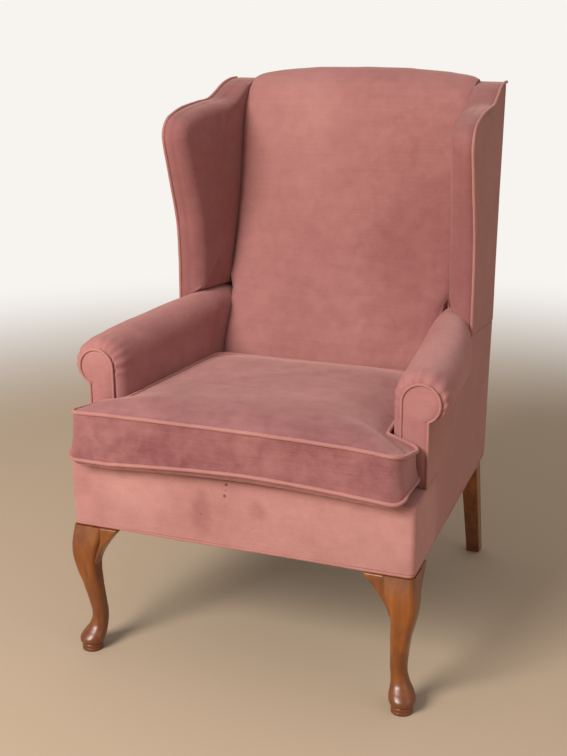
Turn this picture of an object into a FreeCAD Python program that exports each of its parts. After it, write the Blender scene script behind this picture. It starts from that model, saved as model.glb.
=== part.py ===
import FreeCAD, Part
import math
import os
import re
from types import SimpleNamespace

import Sketcher

# Wing armchair with a loose T-shaped seat cushion, millimetres.
# The chair faces -Y, +X is its right-hand side in a front view, +Z is up and z = 0 is the floor.
# x = 0 is the middle of the chair, and y = 0 lies half way between the cushion's front and the back feet.

V = FreeCAD.Vector
doc = FreeCAD.newDocument("wing_armchair")

SIZES = {
    # Plan of the seat box
    "rail_front": 354,
    "rail_depth": 656,
    "front_width": 678,
    "back_width": 618,
    "corner_round": 10,
    # Levels
    "rail_bottom": 276,
    "rail_top": 388,
    "cover_bottom": 268,
    "rail_cover_top": 404,
    "arm_front_height": 616,
    "arm_back_height": 633,
    "wing_height": 1064,
    "back_height": 1091,
    # Lean of the back, as run over rise
    "back_rake": 0.108,
    # Boards and cloth
    "rail_thickness": 25,
    "cloth": 1.5,
    "panel": 2,
    "board_inset": 2.3,
    "seat_gap": 0.3,
    "joint_gap": 0.05,
    "pad_gap": 0.2,
    # Front legs
    "leg_block": 44,
    "leg_neck": 36,
    "foot_in": 19.5,
    "foot_set_back": 10.5,
    "foot_disc": 20.5,
    "disc_height": 14.5,
    "ear_reach": 45,
    "ear_thickness": 26,
    # Back legs
    "post_section": 36,
    "post_inset": 8,
    "foot_splay": 94,
    "foot_tuck": 10,
    "foot_section": 30,
    "post_top": 1036,
    # Seat suspension and deck
    "spring_wire": 3.8,
    "spring_width": 44,
    "spring_pitch": 21,
    "spring_spacing": 104,
    "spring_count": 5,
    "burlap": 1,
    "edge_roll": 13,
    # Arms
    "facing_set_back": 82,
    "facing": 3,
    "arm_post_depth": 30,
    "arm_post_width": 43,
    "scroll_radius": 32,
    "scroll_in": 14.3,
    "arm_front_thickness": 67,
    "arm_back_thickness": 83,
    "scroll_height": 561,
    "arm_board_width": 40,
    "arm_board_height": 25,
    "under_roll": 530,
    "tack_rail_height": 24,
    "tack_rail_bottom": 425,
    "arm_pad_depth": 42,
    "welt": 6,
    "bottom_welt": 7,
    # Wings
    "wing_depth": 253.5,
    "wing_bottom": 634.5,
    "seam_drop_front": 45,
    "seam_drop_back": 70,
    "wing_board": 22,
    "wing_board_set_in": 12,
    "wing_front_thickness": 44,
    "wing_thickening": 0.119,
    "wing_edge_round": 14,
    # Back
    "back_in": 59,
    "back_low_depth": 231,
    "back_middle_depth": 161,
    "back_high_depth": 114,
    "back_bottom": 425,
    "crest_drop": 29,
    "crest_arch": 22,
    "crest_depth": 80,
    "webbing_width": 50,
    "webbing_count": 5,
    "back_side_gap": 0.3,
    # Cushion
    "cushion_overhang": 39.5,
    "cushion_back_gap": 9,
    "cushion_seat": 409.2,
    "cushion_low_welt": 429,
    "cushion_boxing": 75,
    "cushion_crown_rise": 26,
    "crown_run": 120,
    "ear_in": 12,
    "ear_back_gap": 12,
    "cushion_side_gap": 4,
    "cushion_welt": 7,
    "zip_length": 340,
    "zip_height": 14,
    "zip_slider": 16,
}

sheet = doc.addObject("Spreadsheet::Sheet", "Sizes")
for row, (alias, value) in enumerate(SIZES.items(), start=1):
    sheet.set(f"A{row}", alias)
    sheet.set(f"B{row}", str(value))
    sheet.setAlias(f"B{row}", alias)
doc.recompute()
size = SimpleNamespace(**{alias: float(sheet.get(alias)) for alias in SIZES})

parts = {}


def keep(piece, label):
    """Names a finished piece and puts it on the list of pieces of the chair."""
    piece.Label = label
    parts[label] = piece
    return piece


def bound(expression):
    """Turns the plain words of a size expression into references to the sheet."""

    def reference(word):
        return f"Sizes.{word.group()}" if word.group() in SIZES else word.group()

    return re.sub(r"[a-z_]{4,}", reference, expression)


def feature(label, shape, placement=None):
    """A piece whose form is worked out from the sheet's sizes."""
    piece = doc.addObject("Part::Feature", label)
    piece.Shape = shape
    if placement is not None:
        piece.Placement = placement
    return piece


def mirrored(source, label):
    """The left-hand twin of a right-hand piece."""
    twin = doc.addObject("Part::Mirroring", label)
    twin.Source = source
    twin.Normal = V(1, 0, 0)
    twin.Base = V(0, 0, 0)
    return keep(twin, label)


def board(label, role, corners, start, thickness, placement=None):
    """A sawn board: a closed outline drawn on an origin plane, start away from it and padded by thickness."""
    body = doc.addObject("PartDesign::Body", label)
    sketch = body.newObject("Sketcher::SketchObject", label + "_outline")
    plane = next(item for item in body.Origin.OriginFeatures if item.Role == role)
    sketch.AttachmentSupport = (plane, "")
    sketch.MapMode = "FlatFace"
    count = len(corners)
    turn = 2 * math.pi / count
    spots = [V(math.cos(turn * k), math.sin(turn * k), 0) for k in range(count)]
    for k in range(count):
        sketch.addGeometry(Part.LineSegment(spots[k], spots[(k + 1) % count]))
    for k in range(count):
        sketch.addConstraint(Sketcher.Constraint("Coincident", k, 2, (k + 1) % count, 1))
    for k, pair in enumerate(corners):
        for kind, expression in zip(("DistanceX", "DistanceY"), pair):
            index = sketch.addConstraint(Sketcher.Constraint(kind, -1, 1, k, 1, 1.0))
            name = f"{kind}_{k}"
            sketch.renameConstraint(index, name)
            sketch.setExpression(f"Constraints.{name}", bound(expression))
    sketch.setExpression("AttachmentOffset.Base.z", bound(start))
    pad = body.newObject("PartDesign::Pad", label + "_thickness")
    pad.Profile = sketch
    pad.setExpression("Length", bound(thickness))
    if placement is not None:
        body.Placement = placement
    return body


def block(label, sizes, base):
    """A plain rectangular piece with its sizes and its low corner bound to the sheet."""
    box = doc.addObject("Part::Box", label)
    for name, expression in zip(("Length", "Width", "Height"), sizes):
        box.setExpression(name, bound(expression))
    for name, expression in zip("xyz", base):
        box.setExpression(f"Placement.Base.{name}", bound(expression))
    return box


def arc(start, middle, end):
    return Part.Arc(start, middle, end).toShape()


def line(start, end):
    return Part.LineSegment(start, end).toShape()


def prism(points, direction):
    """A straight-edged outline pushed along a direction."""
    return Part.Face(Part.makePolygon(points + points[:1])).extrude(direction)


def box_between(low, high):
    return Part.makeBox(high[0] - low[0], high[1] - low[1], high[2] - low[2], V(*low))


def lofted(wires, ruled=False):
    return Part.makeLoft(wires, True, ruled)


def rounded(corners, closed=True):
    """Straight runs joined by tangent arcs. Each corner is a point and its radius, and an arc that would
    take more than 0.45 of the shorter run beside it is drawn smaller."""
    count = len(corners)
    bends = []
    for k, (here, radius) in enumerate(corners):
        ended = not closed and k in (0, count - 1)
        before = corners[k - 1][0]
        after = corners[(k + 1) % count][0]
        if ended or radius <= 0:
            bends.append((here, here, here))
            continue
        way_in = (here - before).normalize()
        way_out = (after - here).normalize()
        half_turn = way_in.getAngle(way_out) / 2
        room = 0.45 * min(here.distanceToPoint(before), here.distanceToPoint(after))
        cut = min(radius * math.tan(half_turn), room)
        bend_radius = cut / math.tan(half_turn)
        to_hub = (way_out - way_in).normalize()
        sagitta = math.hypot(bend_radius, cut) - bend_radius
        bends.append((here - way_in * cut, here + to_hub * sagitta, here + way_out * cut))
    edges = []
    for k, (first, middle, last) in enumerate(bends):
        if first != last:
            edges.append(arc(first, middle, last))
        if closed or k < count - 1:
            edges.append(line(last, bends[(k + 1) % count][0]))
    return edges


def tube(edges, radius):
    """A round cord or wire along a path of lines and tangent arcs."""
    path = Part.Wire(edges)
    start = edges[0].valueAt(edges[0].FirstParameter)
    along = edges[0].tangentAt(edges[0].FirstParameter)
    ring = Part.Wire(Part.makeCircle(radius, start, along))
    return path.makePipeShell([ring], True, False)


# The seat box narrows towards the back. Its side and the outsides of the arm and the wing lie in one plane.

taper = (size.front_width - size.back_width) / 2 / size.rail_depth
taper_turn = math.degrees(math.atan(taper))
side_slant = math.hypot(1, taper)
taper_words = "((front_width - back_width) / 2 / rail_depth)"
rail_back = size.rail_depth - size.rail_front
cushion_top_line = size.cushion_low_welt + size.cushion_boxing


def side_x(y, inset=0.0):
    """How far out the side plane stands at a distance back, less an inset."""
    return size.front_width / 2 - taper * (y + size.rail_front) - inset


def back_y(z, inset=0.0):
    """Where the raked outside back stands at a height, less an inset."""
    return rail_back + size.back_rake * (z - size.cover_bottom) - inset


facing_y = size.facing_set_back - size.rail_front
wing_front = back_y(size.wing_bottom) - size.wing_depth
back_half_width = size.back_width / 2 - size.back_in
arm_inner_back = back_half_width - 16

# A board of the side frame is drawn with its distances back from the front and its heights, set in from the
# side plane. Its ends are square to that plane, so the inner corner of a front end reaches a little forward.
side_frame = FreeCAD.Placement(
    V(size.front_width / 2, -size.rail_front, 0), FreeCAD.Rotation(V(0, 0, 1), 90 + taper_turn)
)


def side_board(label, corners, inset, thickness):
    slanted = [(f"({back}) * sqrt(1 + {taper_words} ^ 2)", height) for back, height in corners]
    body = board(label, "XZ_Plane", slanted, f"-({inset}) - ({thickness})", thickness, side_frame)
    keep(body, f"{label}_right")
    mirrored(body, f"{label}_left")
    return body


# A board of the back is drawn as seen from the front, leaning with the back, at a depth from its outside.
back_lean = math.degrees(math.atan(size.back_rake))
back_frame = FreeCAD.Placement(V(0, rail_back, size.cover_bottom), FreeCAD.Rotation(V(1, 0, 0), -back_lean))
lean_stretch = math.sqrt(1 + size.back_rake**2)


def plan_outline(inset, level, back_round=0.0):
    """The outline of the seat box seen from above, with its two front corners rounded."""
    front = -size.rail_front + inset
    back = rail_back - inset
    radius = max(size.corner_round - inset, 2)
    corners = [
        (V(-side_x(front, inset), front, level), radius),
        (V(side_x(front, inset), front, level), radius),
        (V(side_x(back, inset), back, level), back_round),
        (V(-side_x(back, inset), back, level), back_round),
    ]
    return rounded(corners)


def plan_face(inset, level):
    return Part.Face(Part.Wire(plan_outline(inset, level)))


# Cabriole front legs: a knee that stands a little proud of the corner, a slim ankle and a pad foot on a disc.
# Each level gives the share of the leg's height, how far its middle lies from the foot's middle across and
# back, half the side and the corner radius.

LEG_LEVELS = [
    (1.0, -10.5, 16.5, 30, 8),
    (0.897, -6.5, 7.5, 29, 11),
    (0.834, -2.5, 3.5, 27, 13),
    (0.766, 0, 2, 24.5, 13),
    (0.71, 0, 2, 22.5, 12.5),
    (0.636, -2, 2.5, 20.3, 12.3),
    (0.561, -5.3, 4.7, 18.4, 12.4),
    (0.486, -7.5, 7.5, 17.2, 13),
    (0.411, -9.5, 11, 16.3, 13),
    (0.355, -10.9, 13.3, 15.8, 13.5),
    (0.299, -11.9, 15.5, 15.6, 13.8),
    (0.243, -11.2, 17, 15.8, 14.5),
    (0.187, -8, 15, 18, 16.8),
    (0.15, -4.5, 10.5, 21.5, 20.5),
    (0.123, -2.5, 6, 23.8, 23),
    (0.097, -0.5, 2, 24.8, 24.3),
    (0.071, 0, 0, 23.4, 23),
]
knee_top = size.cover_bottom - 0.5
foot = V(size.front_width / 2 - size.foot_in, size.foot_set_back - size.rail_front, 0)


def rounded_square(centre, half, radius, level):
    """A square with its faces along the rails and its corners rounded."""
    flat = half - radius
    bend = radius * math.sqrt(0.5)
    corners = [(1, -1), (1, 1), (-1, 1), (-1, -1)]
    edges = []
    for k, (east, north) in enumerate(corners):
        hub = centre + V(east * flat, north * flat, level)
        first = V(0, north * radius, 0) if east == -north else V(east * radius, 0, 0)
        last = V(east * radius, 0, 0) if east == -north else V(0, north * radius, 0)
        edges.append(arc(hub + first, hub + V(east * bend, north * bend, 0), hub + last))
        after = corners[(k + 1) % 4]
        next_hub = centre + V(after[0] * flat, after[1] * flat, level)
        edges.append(line(hub + last, next_hub + last))
    return Part.Wire(edges)


leg_sections = [
    rounded_square(foot + V(across, back, 0), half, radius, share * knee_top)
    for share, across, back, half, radius in LEG_LEVELS
]
leg_sections.append(rounded_square(foot, size.foot_disc - 1.5, size.foot_disc - 2, size.disc_height))
leg_form = lofted(leg_sections)
disc = Part.makeCylinder(size.foot_disc, size.disc_height, foot)
groove = Part.makeTorus(size.foot_disc + 0.6, 1.6, foot + V(0, 0, size.disc_height / 2))
block_out = side_x(-size.rail_front + size.board_inset + size.leg_block, size.board_inset)
block_low = V(block_out - size.leg_block, -size.rail_front + size.board_inset, size.rail_bottom)
leg_block = Part.makeBox(size.leg_block, size.leg_block, size.rail_top - size.rail_bottom, block_low)
inside_covers = plan_face(size.board_inset, 0).extrude(V(0, 0, size.back_height))
neck_low = block_low + V(2, 6, knee_top - size.rail_bottom - 1)
leg_neck = Part.makeBox(size.leg_neck, size.leg_neck, size.rail_bottom - neck_low.z, neck_low)
inside_welt = plan_face(size.bottom_welt + 1.2, 0).extrude(V(0, 0, size.back_height))
leg_pieces = [disc.cut(groove), leg_neck.common(inside_welt), leg_block.common(inside_covers)]
front_leg_shape = leg_form.fuse(leg_pieces).removeSplitter()

# Corner blocks fill the angle between two rails, and each is drawn tight with two long screws.

screw_radius = 3
screw_head = 5.5
screw_reach = 46


def screw(tip, towards):
    """A round-headed screw: its tip end is deep in the post and its head stands on the corner block."""
    shank = Part.makeCylinder(screw_radius, screw_reach, tip, towards)
    head = Part.makeCylinder(screw_head, 3, tip + towards * screw_reach, towards)
    return shank.fuse(head).removeSplitter()


rail_inner = size.board_inset + size.rail_thickness
fit = size.joint_gap
front_inner = -size.rail_front + rail_inner + fit
block_inner = V(block_low.x - fit, block_low.y + size.leg_block + fit, 0)
brace_reach = 70
post_front = rail_back - size.post_inset - size.post_section
post_outer = side_x(rail_back, size.post_inset)
post_inner = post_outer - size.post_section
rear_rail_front = post_front + 3
brace_level = size.rail_bottom + 40
brace_height = 46


def brace(inner, rail_line, inward_y):
    """A corner block round the inner corner of a leg or post, with its long face cut on the slant."""
    behind_rail = rail_inner * side_slant + fit
    side_line = side_x(inner.y, behind_rail)
    far_y = inner.y + inward_y * (brace_reach - 12)
    points = [
        V(inner.x - brace_reach + 12, rail_line, brace_level),
        V(inner.x, rail_line, brace_level),
        V(inner.x, inner.y, brace_level),
        V(min(side_line, side_x(far_y, behind_rail)), inner.y, brace_level),
        V(side_x(far_y, behind_rail), far_y, brace_level),
    ]
    return prism(points, V(0, 0, brace_height))


front_brace = brace(block_inner, front_inner, 1)
rear_inner = V(post_inner - fit, post_front - fit, 0)
rear_brace = brace(rear_inner, rear_rail_front - fit, -1)
front_in = V(-math.sqrt(0.5), math.sqrt(0.5), 0)
rear_in = V(-math.sqrt(0.5), -math.sqrt(0.5), 0)
screw_levels = (brace_level + brace_height * 0.25, brace_level + brace_height * 0.75)
front_screws = [screw(V(block_inner.x, block_inner.y, z) - front_in * 20, front_in) for z in screw_levels]
rear_screws = [screw(V(rear_inner.x, rear_inner.y, z) - rear_in * 20, rear_in) for z in screw_levels]


def screw_way(level, corner, towards):
    """The hole that a screw and its sunk head turn in."""
    start = V(corner.x, corner.y, level) - towards * (20 + fit)
    hole = Part.makeCylinder(screw_radius + fit, screw_reach + fit, start, towards)
    sink = Part.makeCylinder(screw_head + 1, 60, start + towards * (screw_reach + fit), towards)
    return hole.fuse(sink)


front_ways = [screw_way(z, block_inner, front_in) for z in screw_levels]
rear_ways = [screw_way(z, rear_inner, rear_in) for z in screw_levels]
front_leg = keep(feature("front_leg_right", front_leg_shape.cut(front_ways)), "front_leg_right")
mirrored(front_leg, "front_leg_left")


def both_sides(shapes):
    """A shape list and its mirror image as one group."""
    plane = (V(0, 0, 0), V(1, 0, 0))
    return Part.makeCompound(shapes + [shape.mirror(*plane) for shape in shapes])


braces = [front_brace.cut(front_ways), rear_brace.cut(rear_ways)]
keep(feature("corner_blocks", both_sides(braces)), "corner_blocks")
keep(feature("corner_block_screws", both_sides(front_screws + rear_screws)), "corner_block_screws")

# Knee blocks are glued beside each knee and carry its curve out along the front and the side rail.

knee_flat = LEG_LEVELS[0][3]
knee_centre = foot + V(LEG_LEVELS[0][1], LEG_LEVELS[0][2], 0)
knee_low = 0.7 * knee_top


def knee_block(along, across):
    """One knee block: along is the way it reaches out, across is the way its show face looks."""
    root = knee_centre + across * (knee_flat - size.ear_thickness) + along * (knee_flat - 18)
    reach = size.ear_reach
    tip = root + along * (reach + 6)
    edges = [
        line(root + V(0, 0, knee_low), root + V(0, 0, knee_top)),
        line(root + V(0, 0, knee_top), tip + V(0, 0, knee_top)),
        line(tip + V(0, 0, knee_top), tip + V(0, 0, knee_top - 4)),
        arc(
            tip + V(0, 0, knee_top - 4),
            root + along * (reach * 0.42) + V(0, 0, knee_top - 43),
            root + V(0, 0, knee_low),
        ),
    ]
    blank = Part.Face(Part.Wire(edges)).extrude(across * (size.ear_thickness - 1))
    return blank.cut(leg_form).translated(along * size.pad_gap)


knee_blocks = [knee_block(V(-1, 0, 0), V(0, -1, 0)), knee_block(V(0, 1, 0), V(1, 0, 0))]
keep(feature("knee_blocks", both_sides(knee_blocks)), "knee_blocks")


# Back legs: each is one post that splays back below the seat and leans with the back above it.


def post_section(y_front, outer, level, section):
    low = V(outer - section, y_front, level)
    points = [low, low + V(section, 0, 0), low + V(section, section, 0), low + V(0, section, 0)]
    return Part.makePolygon(points + points[:1])


foot_back = rail_back + size.foot_splay
floor_section = post_section(
    foot_back - size.foot_section, post_outer - size.foot_tuck, 0, size.foot_section
)
seat_section = post_section(post_front, post_outer, size.cover_bottom, size.post_section)
top_front = back_y(size.post_top, size.post_inset + size.post_section)
top_section = post_section(
    top_front, side_x(back_y(size.post_top), size.post_inset), size.post_top, size.post_section
)
lower_post = lofted([floor_section, seat_section], True)
upper_post = lofted([seat_section, top_section], True)
rear_post_shape = lower_post.fuse(upper_post).cut(rear_ways)
rear_leg = keep(feature("rear_leg_right", rear_post_shape), "rear_leg_right")
mirrored(rear_leg, "rear_leg_left")

# Seat rails, dowelled between the leg blocks and the posts.

block_line = f"(front_width / 2 - leg_block - board_inset - {taper_words} * (board_inset + leg_block) - 1.4)"
front_rail = block(
    "front_seat_rail",
    (f"2 * {block_line}", "rail_thickness", "rail_top - rail_bottom"),
    (f"-{block_line}", "board_inset - rail_front", "rail_bottom"),
)
keep(front_rail, "front_seat_rail")
post_top_outer = side_x(back_y(size.post_top), size.post_inset)
post_lean_in = (post_outer - post_top_outer) / (size.post_top - size.cover_bottom)
rear_rail_half = post_inner - post_lean_in * (size.rail_top - size.cover_bottom) - size.seat_gap
rear_rail = feature(
    "rear_seat_rail",
    box_between(
        (-rear_rail_half, rear_rail_front, size.rail_bottom),
        (rear_rail_half, rear_rail_front + size.rail_thickness, size.rail_top),
    ),
)
keep(rear_rail, "rear_seat_rail")
side_length = "(rail_depth - post_inset - post_section - joint_gap * 2)"
block_end = f"(board_inset + leg_block + {taper_words} * (board_inset + rail_thickness) + 0.2)"
side_board(
    "side_seat_rail",
    [
        (block_end, "rail_bottom"),
        (side_length, "rail_bottom"),
        (side_length, "rail_top"),
        (block_end, "rail_top"),
    ],
    "board_inset",
    "rail_thickness",
)

# Arm posts stand on the side rails and end in a round scroll head, which the front facing covers.

post_plane = facing_y + size.facing + size.seat_gap
scroll_across = side_x(facing_y, size.scroll_in)
arm_post_outer = side_x(post_plane + size.arm_post_depth, size.board_inset)
arm_post = doc.addObject("Part::MultiFuse", "arm_post")
stump = block(
    "arm_post_stump",
    ("arm_post_width", "arm_post_depth", "scroll_height - rail_top"),
    (
        "front_width / 2 - board_inset - arm_post_width"
        " - (front_width - back_width) / 2 / rail_depth * (facing_set_back + facing + arm_post_depth)",
        "facing_set_back + facing + seat_gap - rail_front",
        "rail_top",
    ),
)
scroll = doc.addObject("Part::Cylinder", "arm_post_scroll")
scroll.setExpression("Radius", bound("scroll_radius"))
scroll.setExpression("Height", bound("arm_post_depth"))
scroll.Placement = FreeCAD.Placement(
    V(scroll_across, post_plane + size.arm_post_depth, size.scroll_height), FreeCAD.Rotation(V(1, 0, 0), 90)
)
arm_post.Shapes = [stump, scroll]
keep(arm_post, "arm_post_right")
mirrored(arm_post, "arm_post_left")

# Arm boards and the tack rails under them run from the arm post to the wing post.

arm_reach = f"{taper_words} * (board_inset + arm_board_width)"
arm_start = f"(facing_set_back + facing + seat_gap + arm_post_depth + {arm_reach} + 0.3)"
wing_start = "(rail_depth + back_rake * (wing_bottom - cover_bottom) - wing_depth)"
arm_end = f"({wing_start} + wing_board_set_in)"
side_board(
    "arm_board",
    [
        (arm_start, "under_roll - 2 - arm_board_height"),
        (arm_end, "under_roll - 2 - arm_board_height"),
        (arm_end, "under_roll - 2"),
        (arm_start, "under_roll - 2"),
    ],
    "board_inset",
    "arm_board_width",
)
side_board(
    "arm_tack_rail",
    [
        (arm_start, "tack_rail_bottom"),
        (arm_end, "tack_rail_bottom"),
        (arm_end, "tack_rail_bottom + tack_rail_height"),
        (arm_start, "tack_rail_bottom + tack_rail_height"),
    ],
    "board_inset",
    "wing_board",
)

# Wing posts rise from the side rails and follow the wing's front edge; a top rail ties each to its back post.

front_edge = f"({wing_start} + wing_board_set_in + joint_gap * 2)"
side_board(
    "wing_post",
    [
        (front_edge, "rail_top"),
        (front_edge, "wing_height - 280"),
        (f"{front_edge} - 17", "wing_height - 213"),
        (f"{front_edge} - 38", "wing_height - 145"),
        (f"{front_edge} - 47", "wing_height - 108"),
        (f"{front_edge} - 42", "wing_height - 86"),
        (f"{front_edge} - 20", "wing_height - 71"),
        (f"{front_edge} + 18", "wing_height - 62"),
        (f"{front_edge} + 18", "wing_height - 160"),
        (f"{front_edge} + 40", "wing_height - 300"),
        (f"{front_edge} + 40", "rail_top"),
    ],
    "board_inset",
    "wing_board",
)
rail_end = "(rail_depth + back_rake * (wing_height - 84 - cover_bottom) - post_inset - post_section - 1)"
side_board(
    "wing_top_rail",
    [
        (f"{front_edge} + 18 + joint_gap", "wing_height - 62"),
        (f"{front_edge} + 18 + joint_gap", "wing_height - 112"),
        (rail_end, "wing_height - 84"),
        (f"{rail_end} + back_rake * 56", "wing_height - 28"),
        (f"{front_edge} + 170", "wing_height - 38"),
        (f"{front_edge} + 135", "wing_height - 50"),
    ],
    "board_inset",
    "wing_board",
)

# Back frame: an arched crest rail and a lower rail between the posts, webbing across and burlap over it.


def leaning(height):
    """A level's distance up the leaning back."""
    return (height - size.cover_bottom) * lean_stretch


def back_slab(half_width, low, high, arch, near, far):
    """A slab of the back with an arched top; near and far are its depths in front of the outside back."""
    corners = [
        V(-half_width, -near, leaning(low)),
        V(half_width, -near, leaning(low)),
        V(half_width, -near, leaning(high) - arch),
        V(0, -near, leaning(high)),
        V(-half_width, -near, leaning(high) - arch),
    ]
    edges = [
        line(corners[0], corners[1]),
        line(corners[1], corners[2]),
        arc(corners[2], corners[3], corners[4]),
        line(corners[4], corners[0]),
    ]
    return Part.Face(Part.Wire(edges)).extrude(V(0, near - far, 0))


def in_back(shape):
    placed = shape.copy()
    placed.Placement = back_frame
    return placed


crest_top = size.back_height - size.crest_drop
post_gap_half = post_top_outer - size.post_section - size.seat_gap
crest = back_slab(
    post_gap_half,
    crest_top - size.crest_depth,
    crest_top,
    size.crest_arch,
    size.post_inset - 1,
    size.post_inset - 1 + size.rail_thickness,
)
keep(feature("crest_rail", crest, back_frame), "crest_rail")
lower_rail_top = 486
low_gap_half = post_inner - post_lean_in * (lower_rail_top - size.cover_bottom) - size.seat_gap
lower_rail_depths = (size.post_inset, size.post_inset + size.rail_thickness)
lower_back = back_slab(low_gap_half, lower_rail_top - 46, lower_rail_top, 1, *lower_rail_depths)
keep(feature("lower_back_rail", lower_back, back_frame), "lower_back_rail")

web_near = size.post_inset + size.post_section + 0.4
webs = doc.addObject("Part::Compound", "back_webbing")
web_links = []
for k in range(int(size.webbing_count)):
    web = block(
        f"web_{k}",
        ("back_width - 88", "cloth", "webbing_width"),
        ("44 - back_width / 2", "0", "0"),
    )
    rise = leaning(530) + k * (leaning(crest_top - size.crest_depth) - leaning(530)) / size.webbing_count
    web.setExpression("Placement.Base.y", bound("-post_inset - post_section - 0.4 - cloth"))
    web.setExpression("Placement.Base.z", f"{rise:.3f}")
    web_links.append(web)
webs.Links = web_links
webs.Placement = back_frame
keep(webs, "back_webbing")
burlap_near = web_near + size.cloth + 0.2
burlap_sheet = back_slab(
    back_half_width - 18, 445, crest_top - 30, size.crest_arch, burlap_near, burlap_near + size.burlap
)
keep(feature("back_burlap", burlap_sheet, back_frame), "back_burlap")

# Inside back: a padded form that swells forward in the middle, rolls over the crest and stops at the wings.

BACK_FALL = [(0.0, 0.0, 0.0), (0.42, 2.5, 1.5), (0.76, 8.0, 8.5), (1.0, 17.0, 21.0)]
back_rear_gap = size.panel + size.seat_gap
top_depth = size.back_high_depth - 12


def back_profile(x, set_back, drop, inset, opened):
    """The back's section at a distance from the middle: its front swells, its top rolls over to the rear."""
    top = size.back_height - drop - inset
    low = size.back_bottom - opened
    cushion_line = cushion_top_line + 11
    middle_line = (cushion_line + top - 136) / 2 - 50

    def front(level, depth, share):
        return back_y(level) - depth + set_back * share + inset

    spots = [
        V(x, front(cushion_line, size.back_low_depth, 1) + 3, low),
        V(x, front(cushion_line, size.back_low_depth, 1), cushion_line),
        V(x, front(middle_line, size.back_middle_depth, 1), middle_line),
        V(x, front(top - 136, size.back_high_depth, 0.5), top - 136),
        V(x, front(top - 70, top_depth, 0.3), top - 70),
        V(x, front(top - 25, top_depth - 26, 0), top - 25),
        V(x, back_y(top) - 54 + inset * 0.3, top - 8),
        V(x, back_y(top) - 27, top),
        V(x, back_y(top) - 13, top - 4),
        V(x, back_y(top - 15, back_rear_gap) + opened, top - 15),
        V(x, back_y(low, back_rear_gap) + opened, low),
    ]
    return Part.Wire(
        [
            line(spots[0], spots[1]),
            arc(spots[1], spots[2], spots[3]),
            arc(spots[3], spots[4], spots[5]),
            arc(spots[5], spots[6], spots[7]),
            arc(spots[7], spots[8], spots[9]),
            line(spots[9], spots[10]),
            line(spots[10], spots[0]),
        ]
    )


def back_form(inset, opened=0.0):
    half = back_half_width - inset
    stations = [(-share, fall, drop) for share, fall, drop in reversed(BACK_FALL[1:])] + BACK_FALL
    return lofted([back_profile(share * half, fall, drop, inset, opened) for share, fall, drop in stations])


arm_level = size.wing_bottom - 0.5


def arm_notches(gap):
    """The room at each side that the inside arms take below the wings."""
    low = (arm_inner_back - gap, 0, 380)
    high = (size.front_width / 2, 420, arm_level + gap)
    return both_sides([box_between(low, high)])


frame_half = size.back_width / 2 - 42
frame_bay = burlap_near + size.burlap + size.seat_gap
frame_room = in_back(back_slab(frame_half, 340, crest_top + size.seat_gap, size.crest_arch, -30, frame_bay))
behind_back = in_back(back_slab(frame_half, 340, size.back_height + 50, 0.1, -60, back_rear_gap))
notches = arm_notches(size.back_side_gap)
inside_back_cover = back_form(0).cut(back_form(size.cloth, 6.0))
keep(feature("inside_back_cover", inside_back_cover.cut(notches).cut(frame_room)), "inside_back_cover")
below_back = box_between((-frame_half, 0, 380), (frame_half, back_y(size.back_height), size.back_bottom))
back_pad = back_form(size.cloth + size.pad_gap, 6.0)
for room in (notches, frame_room, behind_back, below_back):
    back_pad = back_pad.cut(room)
keep(feature("back_pad", back_pad), "back_pad")

# Wings: a padded form on each side frame. Its profile follows the front edge, the scroll and the dipped top.


def wing_points(edge_inset, front_shift=0.0):
    """The wing's outline as distances back and heights, drawn in by an edge inset."""
    top = size.wing_height
    front = wing_front + front_shift
    rear_top = back_y(top, size.panel + size.seat_gap + 0.5)
    shaped = [
        (front, size.wing_bottom, -1, 0),
        (front + 2, top - 349, -1, 0),
        (front - 2, top - 280, -1, 0),
        (front - 19, top - 213, -1, 0),
        (front - 39, top - 145, -1, 0),
        (front - 49, top - 108, -1, 0),
        (front - 42, top - 79, -0.8, 0.6),
        (front - 32, top - 65, -0.6, 0.8),
        (front - 15, top - 58, -0.2, 1),
        (front + 30, top - 47, 0, 1),
        (front + 88, top - 41, 0, 1),
        (front + 147, top - 37, 0, 1),
        (front + 182, top - 25, 0, 1),
        (front + 216, top - 10, 0, 1),
        (front + 255, top - 1, 0, 1),
        (rear_top, top, 0, 1),
        (back_y(size.wing_bottom, size.panel + size.seat_gap + 0.5), size.wing_bottom, 0, 0),
    ]
    return [(y - along * edge_inset, z - up * edge_inset) for y, z, along, up in shaped]


def wing_wire(edge_inset, across, front_shift=0.0):
    """The wing's outline as a wire on the plane whose distance out is given by across(y)."""
    spots = [V(across(y), y, z) for y, z in wing_points(edge_inset, front_shift)]
    edges = [arc(spots[k], spots[k + 1], spots[k + 2]) for k in range(0, 14, 2)]
    edges.append(line(spots[14], spots[15]))
    edges.append(line(spots[15], spots[16]))
    edges.append(line(spots[16], spots[0]))
    return Part.Wire(edges)


def inner_x(y, inset=0.0):
    """How far out a wing's inner face stands: the wing thickens from its front edge to the back."""
    thickness = size.wing_front_thickness + size.wing_thickening * (y - wing_front + 43)
    return side_x(y) - thickness + inset


def wing_form(inset, out=0.0):
    def outer(y):
        return side_x(y, -out)

    def middle(y):
        return side_x(y) * 0.55 + inner_x(y, inset) * 0.45

    def inner(y):
        return inner_x(y, inset)

    wires = [
        wing_wire(inset, outer),
        wing_wire(inset, middle),
        wing_wire(inset + size.wing_edge_round, inner),
    ]
    return lofted(wires)


def side_slab(shape_inset, near, far):
    """The part of the wing's outline between two insets from the side plane."""
    wire_near = wing_wire(shape_inset, lambda y: side_x(y, near))
    wire_far = wing_wire(shape_inset, lambda y: side_x(y, far))
    return lofted([wire_near, wire_far], True)


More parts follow.
